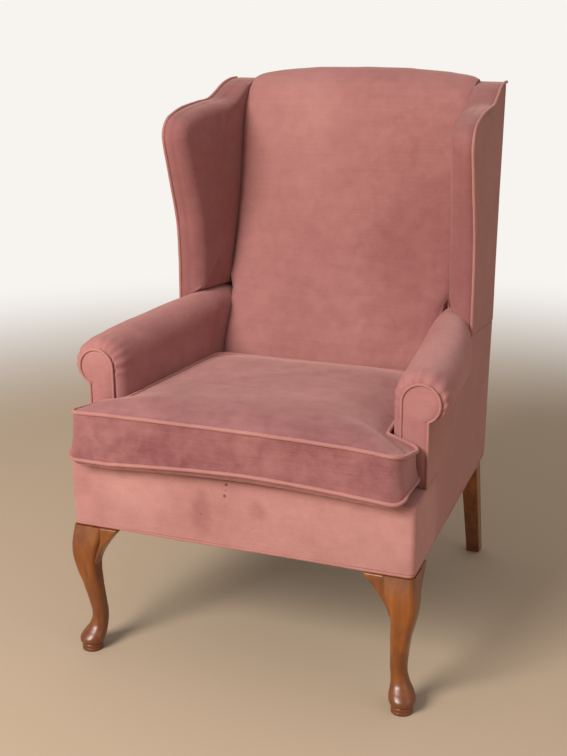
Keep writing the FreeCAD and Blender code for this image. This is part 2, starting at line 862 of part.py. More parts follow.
low_wing = (0, wing_front - 120, size.wing_bottom - 60)
wing_rear = back_y(size.back_height)
below_wing = box_between(low_wing, (size.front_width, wing_rear, size.wing_bottom))
beside_back = box_between(low_wing, (back_half_width + size.pad_gap, wing_rear, size.back_height + 9))
board_back = (size.board_inset + size.wing_board) * side_slant
wing_hollow = side_slab(size.wing_board_set_in - 5, -5, board_back + 0.5)
wing_cover = wing_form(0).cut(wing_form(size.cloth, 5.0)).cut(below_wing).cut(beside_back)
keep(feature("wing_cover_right", wing_cover.cut(rear_post_shape).cut(frame_room)), "wing_cover_right")
wing_pad = wing_form(size.cloth + size.pad_gap * 3, -size.panel - size.pad_gap)
for room in (wing_hollow, below_wing, beside_back, rear_post_shape, frame_room):
    wing_pad = wing_pad.cut(room)
keep(feature("wing_pad_right", wing_pad), "wing_pad_right")
mirrored(parts["wing_cover_right"], "wing_cover_left")
mirrored(parts["wing_pad_right"], "wing_pad_left")
seam_front = (wing_front + 14, size.wing_bottom - size.seam_drop_front + size.seat_gap)
seam_back_level = size.wing_bottom - size.seam_drop_back + size.seat_gap
seam_back = (back_y(seam_back_level, size.panel + size.seat_gap + 0.5), seam_back_level)
overlap_back = (back_y(size.wing_bottom + 5, size.panel + size.seat_gap + 0.5), size.wing_bottom + 5)
overlap_front = (wing_front + 14, size.wing_bottom + 5)
skirt_outline = (seam_front, seam_back, overlap_back, overlap_front)
skirt_outer = Part.makePolygon([V(side_x(y), y, z) for y, z in skirt_outline + skirt_outline[:1]])
skirt_inner = Part.makePolygon([V(side_x(y, size.panel), y, z) for y, z in skirt_outline + skirt_outline[:1]])
skirt = lofted([skirt_outer, skirt_inner], True)
outside_wing = side_slab(size.cloth + 1, 0, size.panel).fuse(skirt).removeSplitter()
keep(feature("outside_wing_panel_right", outside_wing), "outside_wing_panel_right")
mirrored(parts["outside_wing_panel_right"], "outside_wing_panel_left")

# A welt is sewn round the outside edge of each wing.

welt_out = size.welt / 2 + 0.1
welt_spots = [(V(side_x(y, -welt_out), y, z), 200) for y, z in wing_points(0)[:16]]
wing_welt = tube(rounded(welt_spots, False), size.welt / 2)
keep(feature("wing_welts", both_sides([wing_welt])), "wing_welts")

# Arms: a padded inside arm that rolls out over the top. It swells from the facing's edge to its full form.

swell = 26.0
arm_run = wing_front + 10 - facing_y
arm_hang_front = 36.0
panel_line = -size.board_inset - size.seat_gap


def arm_station(y):
    """The inner face, the top, the overhang past the side and the roll's widest level at a distance back."""
    behind = y - facing_y
    run = min(behind / arm_run, 1.0)
    puff = math.sqrt(max(1 - (1 - min(behind / swell, 1)) ** 2, 0))
    thickness = size.arm_front_thickness + run * (size.arm_back_thickness - size.arm_front_thickness)
    top = size.arm_front_height + run * (size.arm_back_height - size.arm_front_height)
    hang = arm_hang_front + run**2.6 * (panel_line - arm_hang_front)
    waist = size.scroll_height + 2 + 26 * run
    return (
        y,
        max(side_x(y) - thickness, arm_inner_back) + (1 - puff) * (size.arm_front_thickness - 45),
        top - (1 - puff) * 20,
        hang - (1 - puff) * 17,
        waist,
    )


arm_front = facing_y + size.facing
arm_places = [arm_front + back for back in (0, 3, 8, 15, 24)]
arm_shares = (0.05, 0.12, 0.24, 0.38, 0.54, 0.69, 0.85)
arm_places += [arm_front + 24 + share * (arm_run - 24) for share in arm_shares]
arm_places += [wing_front + 10 + share * size.wing_depth for share in (0, 0.2, 0.47, 0.77)]
ARM_STATIONS = [arm_station(y) for y in arm_places]


def arm_section(station, inset, open_below):
    y, inner, top, hang, waist = station
    inner = inner + inset
    top = top - inset
    side = side_x(y, size.board_inset)
    outer = side + size.board_inset + hang - inset
    middle = (inner + outer) / 2
    roof = top - waist
    foot_level = size.rail_top + 0.3 - open_below
    board_face = side_x(y, size.arm_pad_depth + size.board_inset) + open_below
    under = size.under_roll - open_below
    side = side + open_below * 0.15
    spots = [
        V(inner, y, foot_level),
        V(inner, y, waist),
        V(inner + 0.29 * (middle - inner), y, waist + 0.71 * roof),
        V(middle, y, top),
        V(outer - 0.29 * (outer - middle), y, waist + 0.71 * roof),
        V(outer, y, waist),
        V(side + 0.78 * (outer - side), y, under + 0.34 * (waist - under)),
        V(side, y, under),
        V(max(board_face, inner + 4), y, under),
        V(max(board_face, inner + 4), y, foot_level),
    ]
    return Part.Wire(
        [
            line(spots[0], spots[1]),
            arc(spots[1], spots[2], spots[3]),
            arc(spots[3], spots[4], spots[5]),
            arc(spots[5], spots[6], spots[7]),
            line(spots[7], spots[8]),
            line(spots[8], spots[9]),
            line(spots[9], spots[0]),
        ]
    )


def arm_form(inset, opened=0.0):
    stations = [list(station) for station in ARM_STATIONS]
    stations[0][0] += size.pad_gap - opened
    stations[-1][0] += opened
    return lofted([arm_section(station, inset, opened) for station in stations], True)


arm_post_room = box_between(
    (arm_post_outer - size.arm_post_width - 0.3, post_plane - 5, 380),
    (arm_post_outer + 0.3, post_plane + size.arm_post_depth + 0.5, size.scroll_height),
)
scroll_room = Part.makeCylinder(
    size.scroll_radius + 0.3,
    size.arm_post_depth + 5.5,
    V(scroll_across, post_plane - 5, size.scroll_height),
    V(0, 1, 0),
)
wing_post_y = wing_front + size.wing_board_set_in - board_back * taper - 1
wing_post_end = wing_front + size.wing_board_set_in + 41
wing_post_room = box_between(
    (side_x(wing_post_end, board_back + 0.5), wing_post_y, size.rail_top - 10),
    (side_x(wing_post_y, -40), wing_post_end, size.wing_bottom + 60),
)
arm_cover = arm_form(0).cut(arm_form(size.cloth, 2.0))
for room in (wing_post_room, rear_post_shape, frame_room):
    arm_cover = arm_cover.cut(room)
keep(feature("inside_arm_cover_right", arm_cover), "inside_arm_cover_right")
arm_pad = arm_form(size.cloth + size.pad_gap)
for room in (arm_post_room, scroll_room, wing_post_room, rear_post_shape, frame_room):
    arm_pad = arm_pad.cut(room)
keep(feature("arm_pad_right", arm_pad), "arm_pad_right")
mirrored(parts["inside_arm_cover_right"], "inside_arm_cover_left")
mirrored(parts["arm_pad_right"], "arm_pad_left")

# Arm facings: a covered board on each arm post, with a welt round its edge.

facing_bottom = size.rail_cover_top + 2
facing_outer = side_x(facing_y, 0.2)
facing_radius = size.scroll_radius + 3
scroll_centre = V(scroll_across, facing_y, size.scroll_height)
meet_drop = math.sqrt(facing_radius**2 - (facing_outer - scroll_across) ** 2)
meet = V(facing_outer, facing_y, size.scroll_height - meet_drop)
facing_inner = scroll_across - facing_radius
facing_edges = [
    line(V(facing_outer, facing_y, facing_bottom), V(facing_inner, facing_y, facing_bottom)),
    line(V(facing_inner, facing_y, facing_bottom), scroll_centre - V(facing_radius, 0, 0)),
    arc(
        scroll_centre - V(facing_radius, 0, 0),
        scroll_centre + V(0, 0, facing_radius),
        scroll_centre + V(facing_radius, 0, 0),
    ),
    arc(
        scroll_centre + V(facing_radius, 0, 0),
        scroll_centre + V(facing_radius * math.cos(0.55), 0, -facing_radius * math.sin(0.55)),
        meet,
    ),
    line(meet, V(facing_outer, facing_y, facing_bottom)),
]
facing_shape = Part.Face(Part.Wire(facing_edges)).extrude(V(0, size.facing, 0))
keep(feature("arm_facing_right", facing_shape), "arm_facing_right")
mirrored(parts["arm_facing_right"], "arm_facing_left")
welt_y = facing_y - welt_out
facing_route = [(V(facing_inner, welt_y, facing_bottom), 0)]
for k in range(10):
    around = math.pi - k * math.radians(24)
    round_head = V(facing_radius * math.cos(around), 0, facing_radius * math.sin(around))
    facing_route.append((V(scroll_across, welt_y, size.scroll_height) + round_head, 200))
facing_route.append((V(facing_outer, welt_y, meet.z - 2), 9))
facing_route.append((V(facing_outer, welt_y, facing_bottom), 0))
facing_welt = tube(rounded(facing_route, False), size.welt / 2)
keep(feature("arm_facing_welts", both_sides([facing_welt])), "arm_facing_welts")

# Outside covers: a band round the front of the seat box, a panel on each outside arm and one on the back.

seam_y = -190.0
band_low = size.cover_bottom + size.bottom_welt + 0.2
band_outer = plan_face(0, band_low).extrude(V(0, 0, size.rail_cover_top - band_low))
band_inner = plan_face(size.panel, band_low - 1).extrude(V(0, 0, size.rail_cover_top - band_low + 2))
band_keep = box_between((-400, -400, 200), (400, seam_y, 450))
keep(feature("front_rail_cover", band_outer.cut(band_inner).common(band_keep)), "front_rail_cover")
band_bottom = "(cover_bottom + bottom_welt + 0.2)"
seam_u = f"(rail_front - {-seam_y} + panel * {taper_words} + 0.2)"
facing_u = f"(facing_set_back + facing + panel * {taper_words} + 0.9)"
outer_arm_top = "(under_roll - 1)"
rear_low_u = "(rail_depth + back_rake * bottom_welt - panel * 1.5)"
front_seam = "(wing_bottom - seam_drop_front)"
rear_seam = "(wing_bottom - seam_drop_back)"
rear_high_u = f"(rail_depth + back_rake * ({rear_seam} - cover_bottom) - panel * 1.5)"
side_board(
    "outside_arm_panel",
    [
        (seam_u, band_bottom),
        (rear_low_u, band_bottom),
        (rear_high_u, rear_seam),
        (f"({wing_start} + 14)", front_seam),
        (f"({wing_start} + 14)", outer_arm_top),
        (facing_u, outer_arm_top),
        (facing_u, "rail_cover_top + 0.5"),
        (seam_u, "rail_cover_top + 0.5"),
    ],
    "0",
    "panel",
)
back_panel_half = side_x(rail_back, 0.5)
outside_back = back_slab(
    back_panel_half, size.cover_bottom + size.bottom_welt + 1, size.back_height - 14, 26, 0, size.panel
)
keep(feature("outside_back_panel", outside_back, back_frame), "outside_back_panel")

# The bottom welt runs round the whole seat box under the covers.

welt_middle = size.cover_bottom + size.bottom_welt / 2
bottom_path = plan_outline(size.bottom_welt / 2, welt_middle, size.bottom_welt)
keep(feature("bottom_welt", tube(bottom_path, size.bottom_welt / 2)), "bottom_welt")

# Seat suspension: zigzag springs held by clips on the front and rear rails, then burlap, pad and deck cloth.

spring_level = size.rail_top + size.spring_wire / 2 + 1.6
spring_front = -size.rail_front + rail_inner - 6
spring_back = rear_rail_front + 10


def zigzag_spring(centre):
    """One no-sag spring: straight bars across, joined by half turns, from the front rail to the rear rail."""
    steps = int((spring_back - spring_front) // size.spring_pitch)
    pitch = (spring_back - spring_front) / steps
    half = size.spring_width / 2 - pitch / 2
    edges = []
    for k in range(steps + 1):
        y = spring_front + k * pitch
        way = 1 if k % 2 == 0 else -1
        edges.append(line(V(centre - way * half, y, spring_level), V(centre + way * half, y, spring_level)))
        if k < steps:
            edges.append(
                arc(
                    V(centre + way * half, y, spring_level),
                    V(centre + way * (half + pitch / 2), y + pitch / 2, spring_level),
                    V(centre + way * half, y + pitch, spring_level),
                )
            )
    path = Part.Wire(edges)
    start = V(centre - half, spring_front, spring_level)
    ring = Part.Wire(Part.makeCircle(size.spring_wire / 2, start, V(1, 0, 0)))
    return path.makePipeShell([ring], True, False)


def spring_clip(centre, y):
    """A steel clip nailed to the rail, closed over the spring's end bar."""
    low = (centre - 7, y - 5, size.rail_top)
    clip = box_between(low, (centre + 7, y + 5, spring_level + size.spring_wire / 2 + 1.2))
    bar = Part.makeCylinder(size.spring_wire / 2 + 0.1, 40, V(centre - 20, y, spring_level), V(1, 0, 0))
    return clip.cut(bar)


spring_places = [
    (k - (size.spring_count - 1) / 2) * size.spring_spacing for k in range(int(size.spring_count))
]
keep(feature("seat_springs", Part.makeCompound([zigzag_spring(x) for x in spring_places])), "seat_springs")
clips = [spring_clip(x, y) for x in spring_places for y in (spring_front, spring_back)]
keep(feature("spring_clips", Part.makeCompound(clips)), "spring_clips")

burlap_low = spring_level + size.spring_wire / 2 + size.pad_gap
deck_low = burlap_low + size.burlap + 0.1
deck_high = size.cushion_seat - size.seat_gap - 1.1
deck_front = -size.rail_front + size.board_inset + size.rail_thickness + 1
deck_back = rear_rail_front
deck_inset = 30.0


def deck_sheet(low, high, margin):
    """A flat layer of the seat deck: as wide as the gap between the arms, stopping short of the back."""
    front = deck_front + margin
    post_line = facing_y - 10
    points = [
        V(side_x(front, deck_inset + margin), front, low),
        V(side_x(post_line, deck_inset + margin), post_line, low),
        V(arm_inner_back - 4 - margin, post_line + 2, low),
        V(arm_inner_back - 6 - margin, deck_back, low),
    ]
    points = points + [V(-point.x, point.y, low) for point in reversed(points)]
    return prism(points, V(0, 0, high - low))


keep(feature("seat_burlap", deck_sheet(burlap_low, burlap_low + size.burlap, 0)), "seat_burlap")
keep(feature("seat_deck_pad", deck_sheet(deck_low, deck_high, 0)), "seat_deck_pad")
keep(feature("seat_deck_cover", deck_sheet(deck_high + 0.1, deck_high + 1.1, -1)), "seat_deck_cover")
edge_roll = block(
    "front_edge_roll",
    (f"2 * {block_line}", "edge_roll", "rail_cover_top - rail_top - seat_gap * 2"),
    (f"-{block_line}", "board_inset - rail_front", "rail_top + seat_gap"),
)
keep(edge_roll, "front_edge_roll")

# A dust cover closes the underside, and staples hold it to the rails.

dust_low = size.rail_bottom - 1.3
dust_face = plan_face(10, dust_low).extrude(V(0, 0, 1))
leg_room = box_between((neck_low.x - 3, -400, 200), (400, neck_low.y + size.leg_neck + 3, 300))
rear_room = box_between((post_inner - 3, post_front - 3, 200), (400, 400, 300))
keep(feature("dust_cover", dust_face.cut(both_sides([leg_room, rear_room]))), "dust_cover")
staple_half = 5.0
staple_wire = 0.6
staples = []


def staple(x, y, half_x, half_y):
    """One staple's crown, lying flat against the cloth."""
    low = (x - half_x, y - half_y, dust_low - 2 * staple_wire)
    return box_between(low, (x + half_x, y + half_y, dust_low))


for k in range(9):
    for y in (-size.rail_front + 17, rear_rail_front + 14):
        staples.append(staple((k - 4) * 60.0, y, staple_half, staple_wire))
for k in range(8):
    y = -size.rail_front + 90 + k * (size.rail_depth - 222) / 7
    for x in (side_x(y, 16), -side_x(y, 16)):
        staples.append(staple(x, y, staple_wire, staple_half))
keep(feature("dust_cover_staples", Part.makeCompound(staples)), "dust_cover_staples")

# Loose seat cushion: T-shaped, with ears in front of the arm posts, drawn-in boxing and a crowned top.

body_front_half = arm_station(facing_y + swell)[1] - size.cushion_side_gap
body_back_half = arm_station(wing_front)[1] - size.cushion_side_gap


cushion_back = back_y(cushion_top_line) - size.back_low_depth - size.cushion_back_gap


def t_outline(side_inset, end_inset, level):
    """The cushion's plan at a level, as lines joined by arcs."""
    front = -size.rail_front - size.cushion_overhang + end_inset
    ear = size.front_width / 2 - size.ear_in - side_inset
    ear_back = facing_y - size.ear_back_gap - end_inset * 0.6
    wide = body_front_half - side_inset
    narrow = body_back_half - side_inset
    corners = [
        (ear, front, max(26 - side_inset * 0.4, 8)),
        (ear, ear_back, max(16 - side_inset * 0.5, 4)),
        (wide, ear_back, 9),
        (narrow, cushion_back - side_inset, max(24 - side_inset * 0.5, 6)),
    ]
    corners = corners + [(-x, y, radius) for x, y, radius in reversed(corners)]
    return rounded([(V(x, y, level), radius) for x, y, radius in corners])


crown_steps = 6


def cushion_form(inset):
    """The cushion's closed form: drawn-in boxing between the welts and a top that crowns to its middle."""
    low = size.cushion_low_welt
    high = cushion_top_line
    drop = low - size.cushion_seat
    levels = [
        (low - drop + inset, 26, 26),
        (low - drop * 0.45, 8, 8),
        (low, 0, 0),
        (low + 14, 1.8, 1.8),
        ((low + high) / 2, 3, 3),
        (high - 14, 1.8, 1.8),
        (high, 0, 0),
    ]
    for k in range(1, crown_steps + 1):
        share = k / crown_steps
        level = high + (size.cushion_crown_rise - inset) * (1 - (1 - share) ** 2.2)
        levels.append((level, size.crown_run * share, size.crown_run * 0.37 * share**0.8))
    sections = [Part.Wire(t_outline(side + inset, end + inset, level)) for level, side, end in levels]
    return lofted(sections, True)


zip_y = cushion_back - 5.5
zip_middle = (size.cushion_low_welt + cushion_top_line) / 2
zip_room = box_between(
    (-size.zip_length / 2 - 0.2, zip_y - 0.2, zip_middle - size.zip_height / 2 - 0.2),
    (size.zip_length / 2 + 0.2, cushion_back + 10, zip_middle + size.zip_height / 2 + 0.2),
)
cushion_welts = [
    tube(t_outline(1.0, 1.0, level), size.cushion_welt / 2)
    for level in (size.cushion_low_welt, cushion_top_line)
]
cushion_core = cushion_form(size.cloth + size.pad_gap)
cushion_cover = cushion_form(0).cut(cushion_form(size.cloth))
for level in (size.cushion_low_welt, cushion_top_line):
    welt_room = tube(t_outline(1.0, 1.0, level), size.cushion_welt / 2 + size.pad_gap)
    cushion_core = cushion_core.cut(welt_room)
    cushion_cover = cushion_cover.cut(welt_room)
keep(feature("cushion_core", cushion_core.cut(zip_room)), "cushion_core")
keep(feature("cushion_cover", cushion_cover.cut(zip_room)), "cushion_cover")
keep(feature("cushion_welts", Part.makeCompound(cushion_welts)), "cushion_welts")

# A zip lies along the cushion's rear boxing. Its slider runs on the chain from end to end.

zipper = block(
    "cushion_zip",
    ("zip_length", "2", "zip_height"),
    (
        "-zip_length / 2",
        "rail_depth - rail_front + back_rake * (cushion_low_welt + cushion_boxing - cover_bottom)"
        " - back_low_depth - cushion_back_gap - 5.5",
        "cushion_low_welt + (cushion_boxing - zip_height) / 2",
    ),
)
keep(zipper, "cushion_zip")
slider_y = zip_y + 2 + size.seat_gap
slider_x = -size.zip_length / 2 + 18
slider_half = size.zip_slider / 2
slider_deep = slider_y + 2.4
slider_low = (slider_x - slider_half, slider_y, zip_middle - 4.5)
slider_body = box_between(slider_low, (slider_x + slider_half, slider_deep, zip_middle + 4.5))
tab_low = (slider_x - 3, slider_deep, zip_middle - 16)
pull_tab = box_between(tab_low, (slider_x + 3, slider_deep + 1, zip_middle + 3))
keep(feature("zip_slider", slider_body.fuse(pull_tab).removeSplitter()), "zip_slider")

doc.recompute()
faults = []
for item in doc.Objects:
    if "Invalid" in item.State or "Error" in item.State:
        faults.append(f"{item.Label}: {item.State}")
for name, piece in parts.items():
    if piece.Shape.isNull() or not piece.Shape.isValid() or not piece.Shape.Solids:
        faults.append(f"{name}: no valid solid")
if faults:
    raise SystemExit("\n".join(faults))
if len(parts) > 60:
    raise SystemExit("too many pieces")

os.makedirs("parts", exist_ok=True)
for name, piece in parts.items():
    piece.Shape.exportStep(f"parts/{name}.step")
    print(f"{name}: {len(piece.Shape.Solids)} solids, {piece.Shape.Volume / 1000:.1f} cm3")
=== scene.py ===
import math

import bmesh
import bpy
import numpy as np
from mathutils import Matrix, Vector, noise


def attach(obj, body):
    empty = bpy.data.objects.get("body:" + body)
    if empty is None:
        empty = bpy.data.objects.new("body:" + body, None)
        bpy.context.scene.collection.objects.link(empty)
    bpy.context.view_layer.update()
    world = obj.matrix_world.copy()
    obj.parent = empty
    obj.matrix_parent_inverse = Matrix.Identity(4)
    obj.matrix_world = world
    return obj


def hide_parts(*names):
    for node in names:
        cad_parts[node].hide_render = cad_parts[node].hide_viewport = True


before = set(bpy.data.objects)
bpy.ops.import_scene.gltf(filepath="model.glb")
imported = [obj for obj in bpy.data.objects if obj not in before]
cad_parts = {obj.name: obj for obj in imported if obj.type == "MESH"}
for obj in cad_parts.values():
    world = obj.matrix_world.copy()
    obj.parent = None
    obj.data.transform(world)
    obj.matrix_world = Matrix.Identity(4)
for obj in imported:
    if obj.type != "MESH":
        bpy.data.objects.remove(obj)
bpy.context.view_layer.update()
scene = bpy.context.scene
scene.view_settings.view_transform = "Standard"

# Camera
# It stands in front of the chair and to its right, a little above the arms, and looks down at it.

camera_lens = bpy.data.cameras.new("camera")
camera_lens.lens = 59.07
camera_lens.sensor_width = 36
camera = bpy.data.objects.new("camera", camera_lens)
scene.collection.objects.link(camera)
camera_place = (0.869, -2.2445, 1.228)
heading = 0.387
look_down = 0.295
lean = -0.008
camera_turn = Matrix.Rotation(heading, 4, "Z") @ Matrix.Rotation(math.pi / 2 - look_down, 4, "X")
camera.matrix_world = Matrix.Translation(camera_place) @ camera_turn @ Matrix.Rotation(lean, 4, "Z")
scene.camera = camera

# Floor and light
# A plain pale floor under a pale surround. One large soft light stands in front and to the left, and a weak
# one to the right.


def tint(red, green, blue):
    """A colour given from 0 to 255, as the shaders take it."""
    shares = [value / 255 for value in (red, green, blue)]
    return (*[s / 12.92 if s < 0.04045 else ((s + 0.055) / 1.055) ** 2.4 for s in shares], 1.0)


def node(tree, kind, inputs=None, **settings):
    """Adds a node to a tree. An input is a value or another node's output."""
    made = tree.nodes.new(kind)
    for key, value in settings.items():
        setattr(made, key, value)
    for key, value in (inputs or {}).items():
        if isinstance(value, bpy.types.NodeSocket):
            tree.links.new(value, made.inputs[key])
        else:
            made.inputs[key].default_value = value
    return made


def area_light(name, place, aim, width, watts, colour):
    """A soft round lamp that stands at a place and is turned towards an aim."""
    lamp = bpy.data.lights.new(name, "AREA")
    lamp.shape = "DISK"
    lamp.size = width
    lamp.energy = watts
    lamp.color = colour
    holder = bpy.data.objects.new(name, lamp)
    holder.location = place
    holder.rotation_euler = (Vector(aim) - Vector(place)).to_track_quat("-Z", "Y").to_euler()
    scene.collection.objects.link(holder)


area_light("key_light", (-1.3, -3.6, 2.7), (0, 0, 0.55), 2.0, 195, (1.0, 0.98, 0.95))
area_light("side_light", (3.4, -1.2, 2.2), (0, 0, 0.5), 2.4, 10, (0.95, 0.97, 1.0))
surround_colour = tint(247, 244, 240)
world = bpy.data.worlds.new("surround")
world.use_nodes = True
world.node_tree.nodes["Background"].inputs["Color"].default_value = surround_colour
seen_or_lit = {0: node(world.node_tree, "ShaderNodeLightPath").outputs["Is Camera Ray"], 3: 0.46, 4: 1.0}
surround_strength = node(world.node_tree, "ShaderNodeMapRange", seen_or_lit).outputs[0]
world.node_tree.links.new(surround_strength, world.node_tree.nodes["Background"].inputs["Strength"])
scene.world = world

floor_mesh = bpy.data.meshes.new("floor")
floor_half = 90.0
floor_corners = [(-1, -1), (1, -1), (1, 1), (-1, 1)]
floor_mesh.from_pydata([(x * floor_half, y * floor_half, 0) for x, y in floor_corners], [], [(0, 1, 2, 3)])
floor = bpy.data.objects.new("floor", floor_mesh)
scene.collection.objects.link(floor)
floor_finish = bpy.data.materials.new("floor_finish")
floor_finish.use_nodes = True
floor_tree = floor_finish.node_tree
floor_shader = floor_tree.nodes["Principled BSDF"]
floor_shader.inputs["Base Color"].default_value = tint(194, 170, 144)
floor_shader.inputs["Roughness"].default_value = 0.8
# Seen from the camera the floor fades to a pale surround beyond the chair.
floor_place = node(floor_tree, "ShaderNodeTexCoord").outputs["Object"]
floor_far = node(floor_tree, "ShaderNodeVectorMath", {0: floor_place}, operation="LENGTH").outputs["Value"]
fade_start = 1.3
fade_end = 3.4
floor_fade = {0: floor_far, 1: fade_start, 2: fade_end}
floor_fade = node(floor_tree, "ShaderNodeMapRange", floor_fade, interpolation_type="SMOOTHSTEP").outputs[0]
seen = node(floor_tree, "ShaderNodeLightPath").outputs["Is Camera Ray"]
floor_fade = node(floor_tree, "ShaderNodeMath", {0: floor_fade, 1: seen}, operation="MULTIPLY").outputs[0]
surround_glow = node(floor_tree, "ShaderNodeEmission", {"Color": surround_colour}).outputs[0]
floor_steps = {0: floor_fade, 1: floor_shader.outputs[0], 2: surround_glow}
floor_mixed = node(floor_tree, "ShaderNodeMixShader", floor_steps).outputs[0]
floor_tree.links.new(floor_mixed, floor_tree.nodes["Material Output"].inputs["Surface"])
floor.data.materials.append(floor_finish)

# Polished wood of the legs
# Walnut-stained hardwood with a worn varnish. The grain runs up the leg, and the wood is darker towards the
# foot.


def new_finish(name):
    """A new material with its tree, its main shader and the piece's own coordinates."""
    made = bpy.data.materials.new(name)
    made.use_nodes = True
    tree = made.node_tree
    place = node(tree, "ShaderNodeTexCoord").outputs["Object"]
    return made, tree, tree.nodes["Principled BSDF"], place


def clouded(tree, place, scale, detail, distortion=0.0):
    """Soft noise from 0 to 1 at a scale."""
    inputs = {"Vector": place, "Scale": scale, "Detail": detail, "Distortion": distortion}
    return node(tree, "ShaderNodeTexNoise", inputs).outputs[0]


def drawn_out(tree, place, scale):
    """Coordinates stretched along the grain or the threads."""
    return node(tree, "ShaderNodeMapping", {"Vector": place, "Scale": scale}).outputs[0]


def ranged(tree, value, start, end, high=1.0, low=0.0):
    """Climbs from low to high as a value goes from start to end."""
    return node(tree, "ShaderNodeMapRange", {0: value, 1: start, 2: end, 3: low, 4: high}).outputs[0]


def worked(tree, operation, *values):
    """The result of a sum on one to three values."""
    return node(tree, "ShaderNodeMath", dict(enumerate(values)), operation=operation).outputs[0]


def shifted(tree, operation, *values):
    """The result of a sum on one or two places."""
    return node(tree, "ShaderNodeVectorMath", dict(enumerate(values)), operation=operation).outputs[0]


def distance(tree, operation, *values):
    """The length of a place, or how far it is from another."""
    return node(tree, "ShaderNodeVectorMath", dict(enumerate(values)), operation=operation).outputs["Value"]


def blended(tree, share, first, second):
    """A colour between two, at a share of the way."""
    return node(tree, "ShaderNodeMix", {0: share, 6: first, 7: second}, data_type="RGBA").outputs[2]


def raised(tree, height, strength, depth, under=None):
    """Small relief from a pattern, on top of another relief where one is given."""
    inputs = {"Height": height, "Strength": strength, "Distance": depth}
    if under is not None:
        inputs["Normal"] = under
    return node(tree, "ShaderNodeBump", inputs).outputs[0]


def polished_wood(name, light, dark, shaded_cuts=()):
    """Stained wood under a worn varnish. Each slit, by start, end and width, is a carved cut's painted
    shade.
    """
    made, tree, finish, place = new_finish(name)
    stretched = drawn_out(tree, place, (60, 60, 5))
    grain = clouded(tree, stretched, 1.3, 6.0, 0.3)
    pores = clouded(tree, stretched, 14.0, 3.0)
    clouds = clouded(tree, place, 17.0, 3.0)
    colour = blended(tree, ranged(tree, grain, 0.25, 0.75), dark, light)
    colour = blended(tree, ranged(tree, clouds, 0.45, 0.75, 0.55), colour, tint(74, 38, 20))
    colour = blended(tree, ranged(tree, pores, 0.6, 0.72, 0.45), colour, dark)
    height = node(tree, "ShaderNodeSeparateXYZ", {0: place}).outputs["Z"]
    colour = blended(tree, ranged(tree, height, 0.13, 0.02, 0.5), colour, tint(96, 42, 20))
    for start, end, width in shaded_cuts:
        along = Vector(end) - Vector(start)
        turn = along.to_track_quat("Z", "Y").inverted().to_euler()
        from_middle = shifted(tree, "SUBTRACT", place, (Vector(start) + Vector(end)) / 2)
        turned = {"Vector": from_middle, "Rotation": turn}
        turned = node(tree, "ShaderNodeVectorRotate", turned, rotation_type="EULER_XYZ").outputs[0]
        scaled = shifted(tree, "MULTIPLY", turned, (1, 1, 2 * width / along.length))
        cut = ranged(tree, distance(tree, "LENGTH", scaled), width, width * 0.6, 0.85)
        # Painted shade: a near-black line where the carved cut would lie in shadow. The leg's mesh has no
        # cut.
        colour = blended(tree, cut, colour, tint(34, 18, 10))
    tree.links.new(colour, finish.inputs["Base Color"])
    finish.inputs["Roughness"].default_value = 0.36
    finish.inputs["Coat Weight"].default_value = 0.35
    finish.inputs["Coat Roughness"].default_value = 0.22
    tree.links.new(raised(tree, pores, 0.25, 0.0006), finish.inputs["Normal"])
    return made


# Carved cuts on the fronts of the knees, drawn on the wood as painted shade.
right_shaded_cuts = [((0.3195, -0.382, 0.238), (0.3270, -0.382, 0.232), 0.0012)]
right_shaded_cuts.append(((0.3195, -0.382, 0.231), (0.3270, -0.382, 0.225), 0.0012))
left_shaded_cuts = [((-0.3060, -0.382, 0.243), (-0.2990, -0.382, 0.236), 0.0011)]
leg_finishes = {
    1: polished_wood("leg_wood_right", tint(158, 88, 22), tint(108, 54, 14), right_shaded_cuts),
    -1: polished_wood("leg_wood_left", tint(150, 82, 20), tint(102, 50, 14), left_shaded_cuts),
}
back_leg_finish = polished_wood("back_leg_wood", tint(158, 90, 36), tint(108, 60, 24))

# Carved front legs
# Each is one piece of hardwood: a block inside the seat's corner, a cabriole knee that bows out, a slim
# ankle, a pad foot, and a thin disc under it with one groove turned round it.


def spaced(line, count, closed=False):
    """A given number of points, evenly spaced along a line of points."""
    spots = np.array(line, float)
    if closed:
        spots = np.vstack([spots, spots[:1]])
    steps = np.linalg.norm(np.diff(spots, axis=0), axis=1)
    walked = np.concatenate([[0], np.cumsum(steps)])
    marks = np.linspace(0, walked[-1], count, endpoint=not closed)
    return np.column_stack([np.interp(marks, walked, column) for column in spots.T])


def smooth_line(points, count):
    """Evenly spaced points on a smooth curve through the given ones."""
    spots = np.array(points, float)
    spots = np.vstack([2 * spots[:1] - spots[1:2], spots, 2 * spots[-1:] - spots[-2:-1]])
    fine = []
    for a, b, c, d in zip(spots, spots[1:], spots[2:], spots[3:]):
        for t in np.linspace(0, 1, 12, endpoint=False):
            curve = 2 * b + (c - a) * t + (2 * a - 5 * b + 4 * c - d) * t**2 + (3 * b - a - 3 * c + d) * t**3
            fine.append(curve / 2)
    fine.append(spots[-2])
    return spaced(fine, count)


def placed(name, mesh, crease=60, merge=False):
    """Puts a closed mesh in the scene. Its faces look outwards, and it is smooth where it bends little."""
    form = bmesh.new()
    form.from_mesh(mesh)
    if merge:
        bmesh.ops.remove_doubles(form, verts=form.verts, dist=1e-6)
    bmesh.ops.recalc_face_normals(form, faces=form.faces)
    form.to_mesh(mesh)
    form.free()
    mesh.polygons.foreach_set("use_smooth", [True] * len(mesh.polygons))
    mesh.set_sharp_from_angle(angle=math.radians(crease))
    piece = bpy.data.objects.new(name, mesh)
    scene.collection.objects.link(piece)
    return piece


def solid(name, spots, faces, crease=60):
    """A shown closed mesh from its points and faces."""
    mesh = bpy.data.meshes.new(name)
    mesh.from_pydata([tuple(spot) for spot in spots], [], faces)
    return placed(name, mesh, crease)


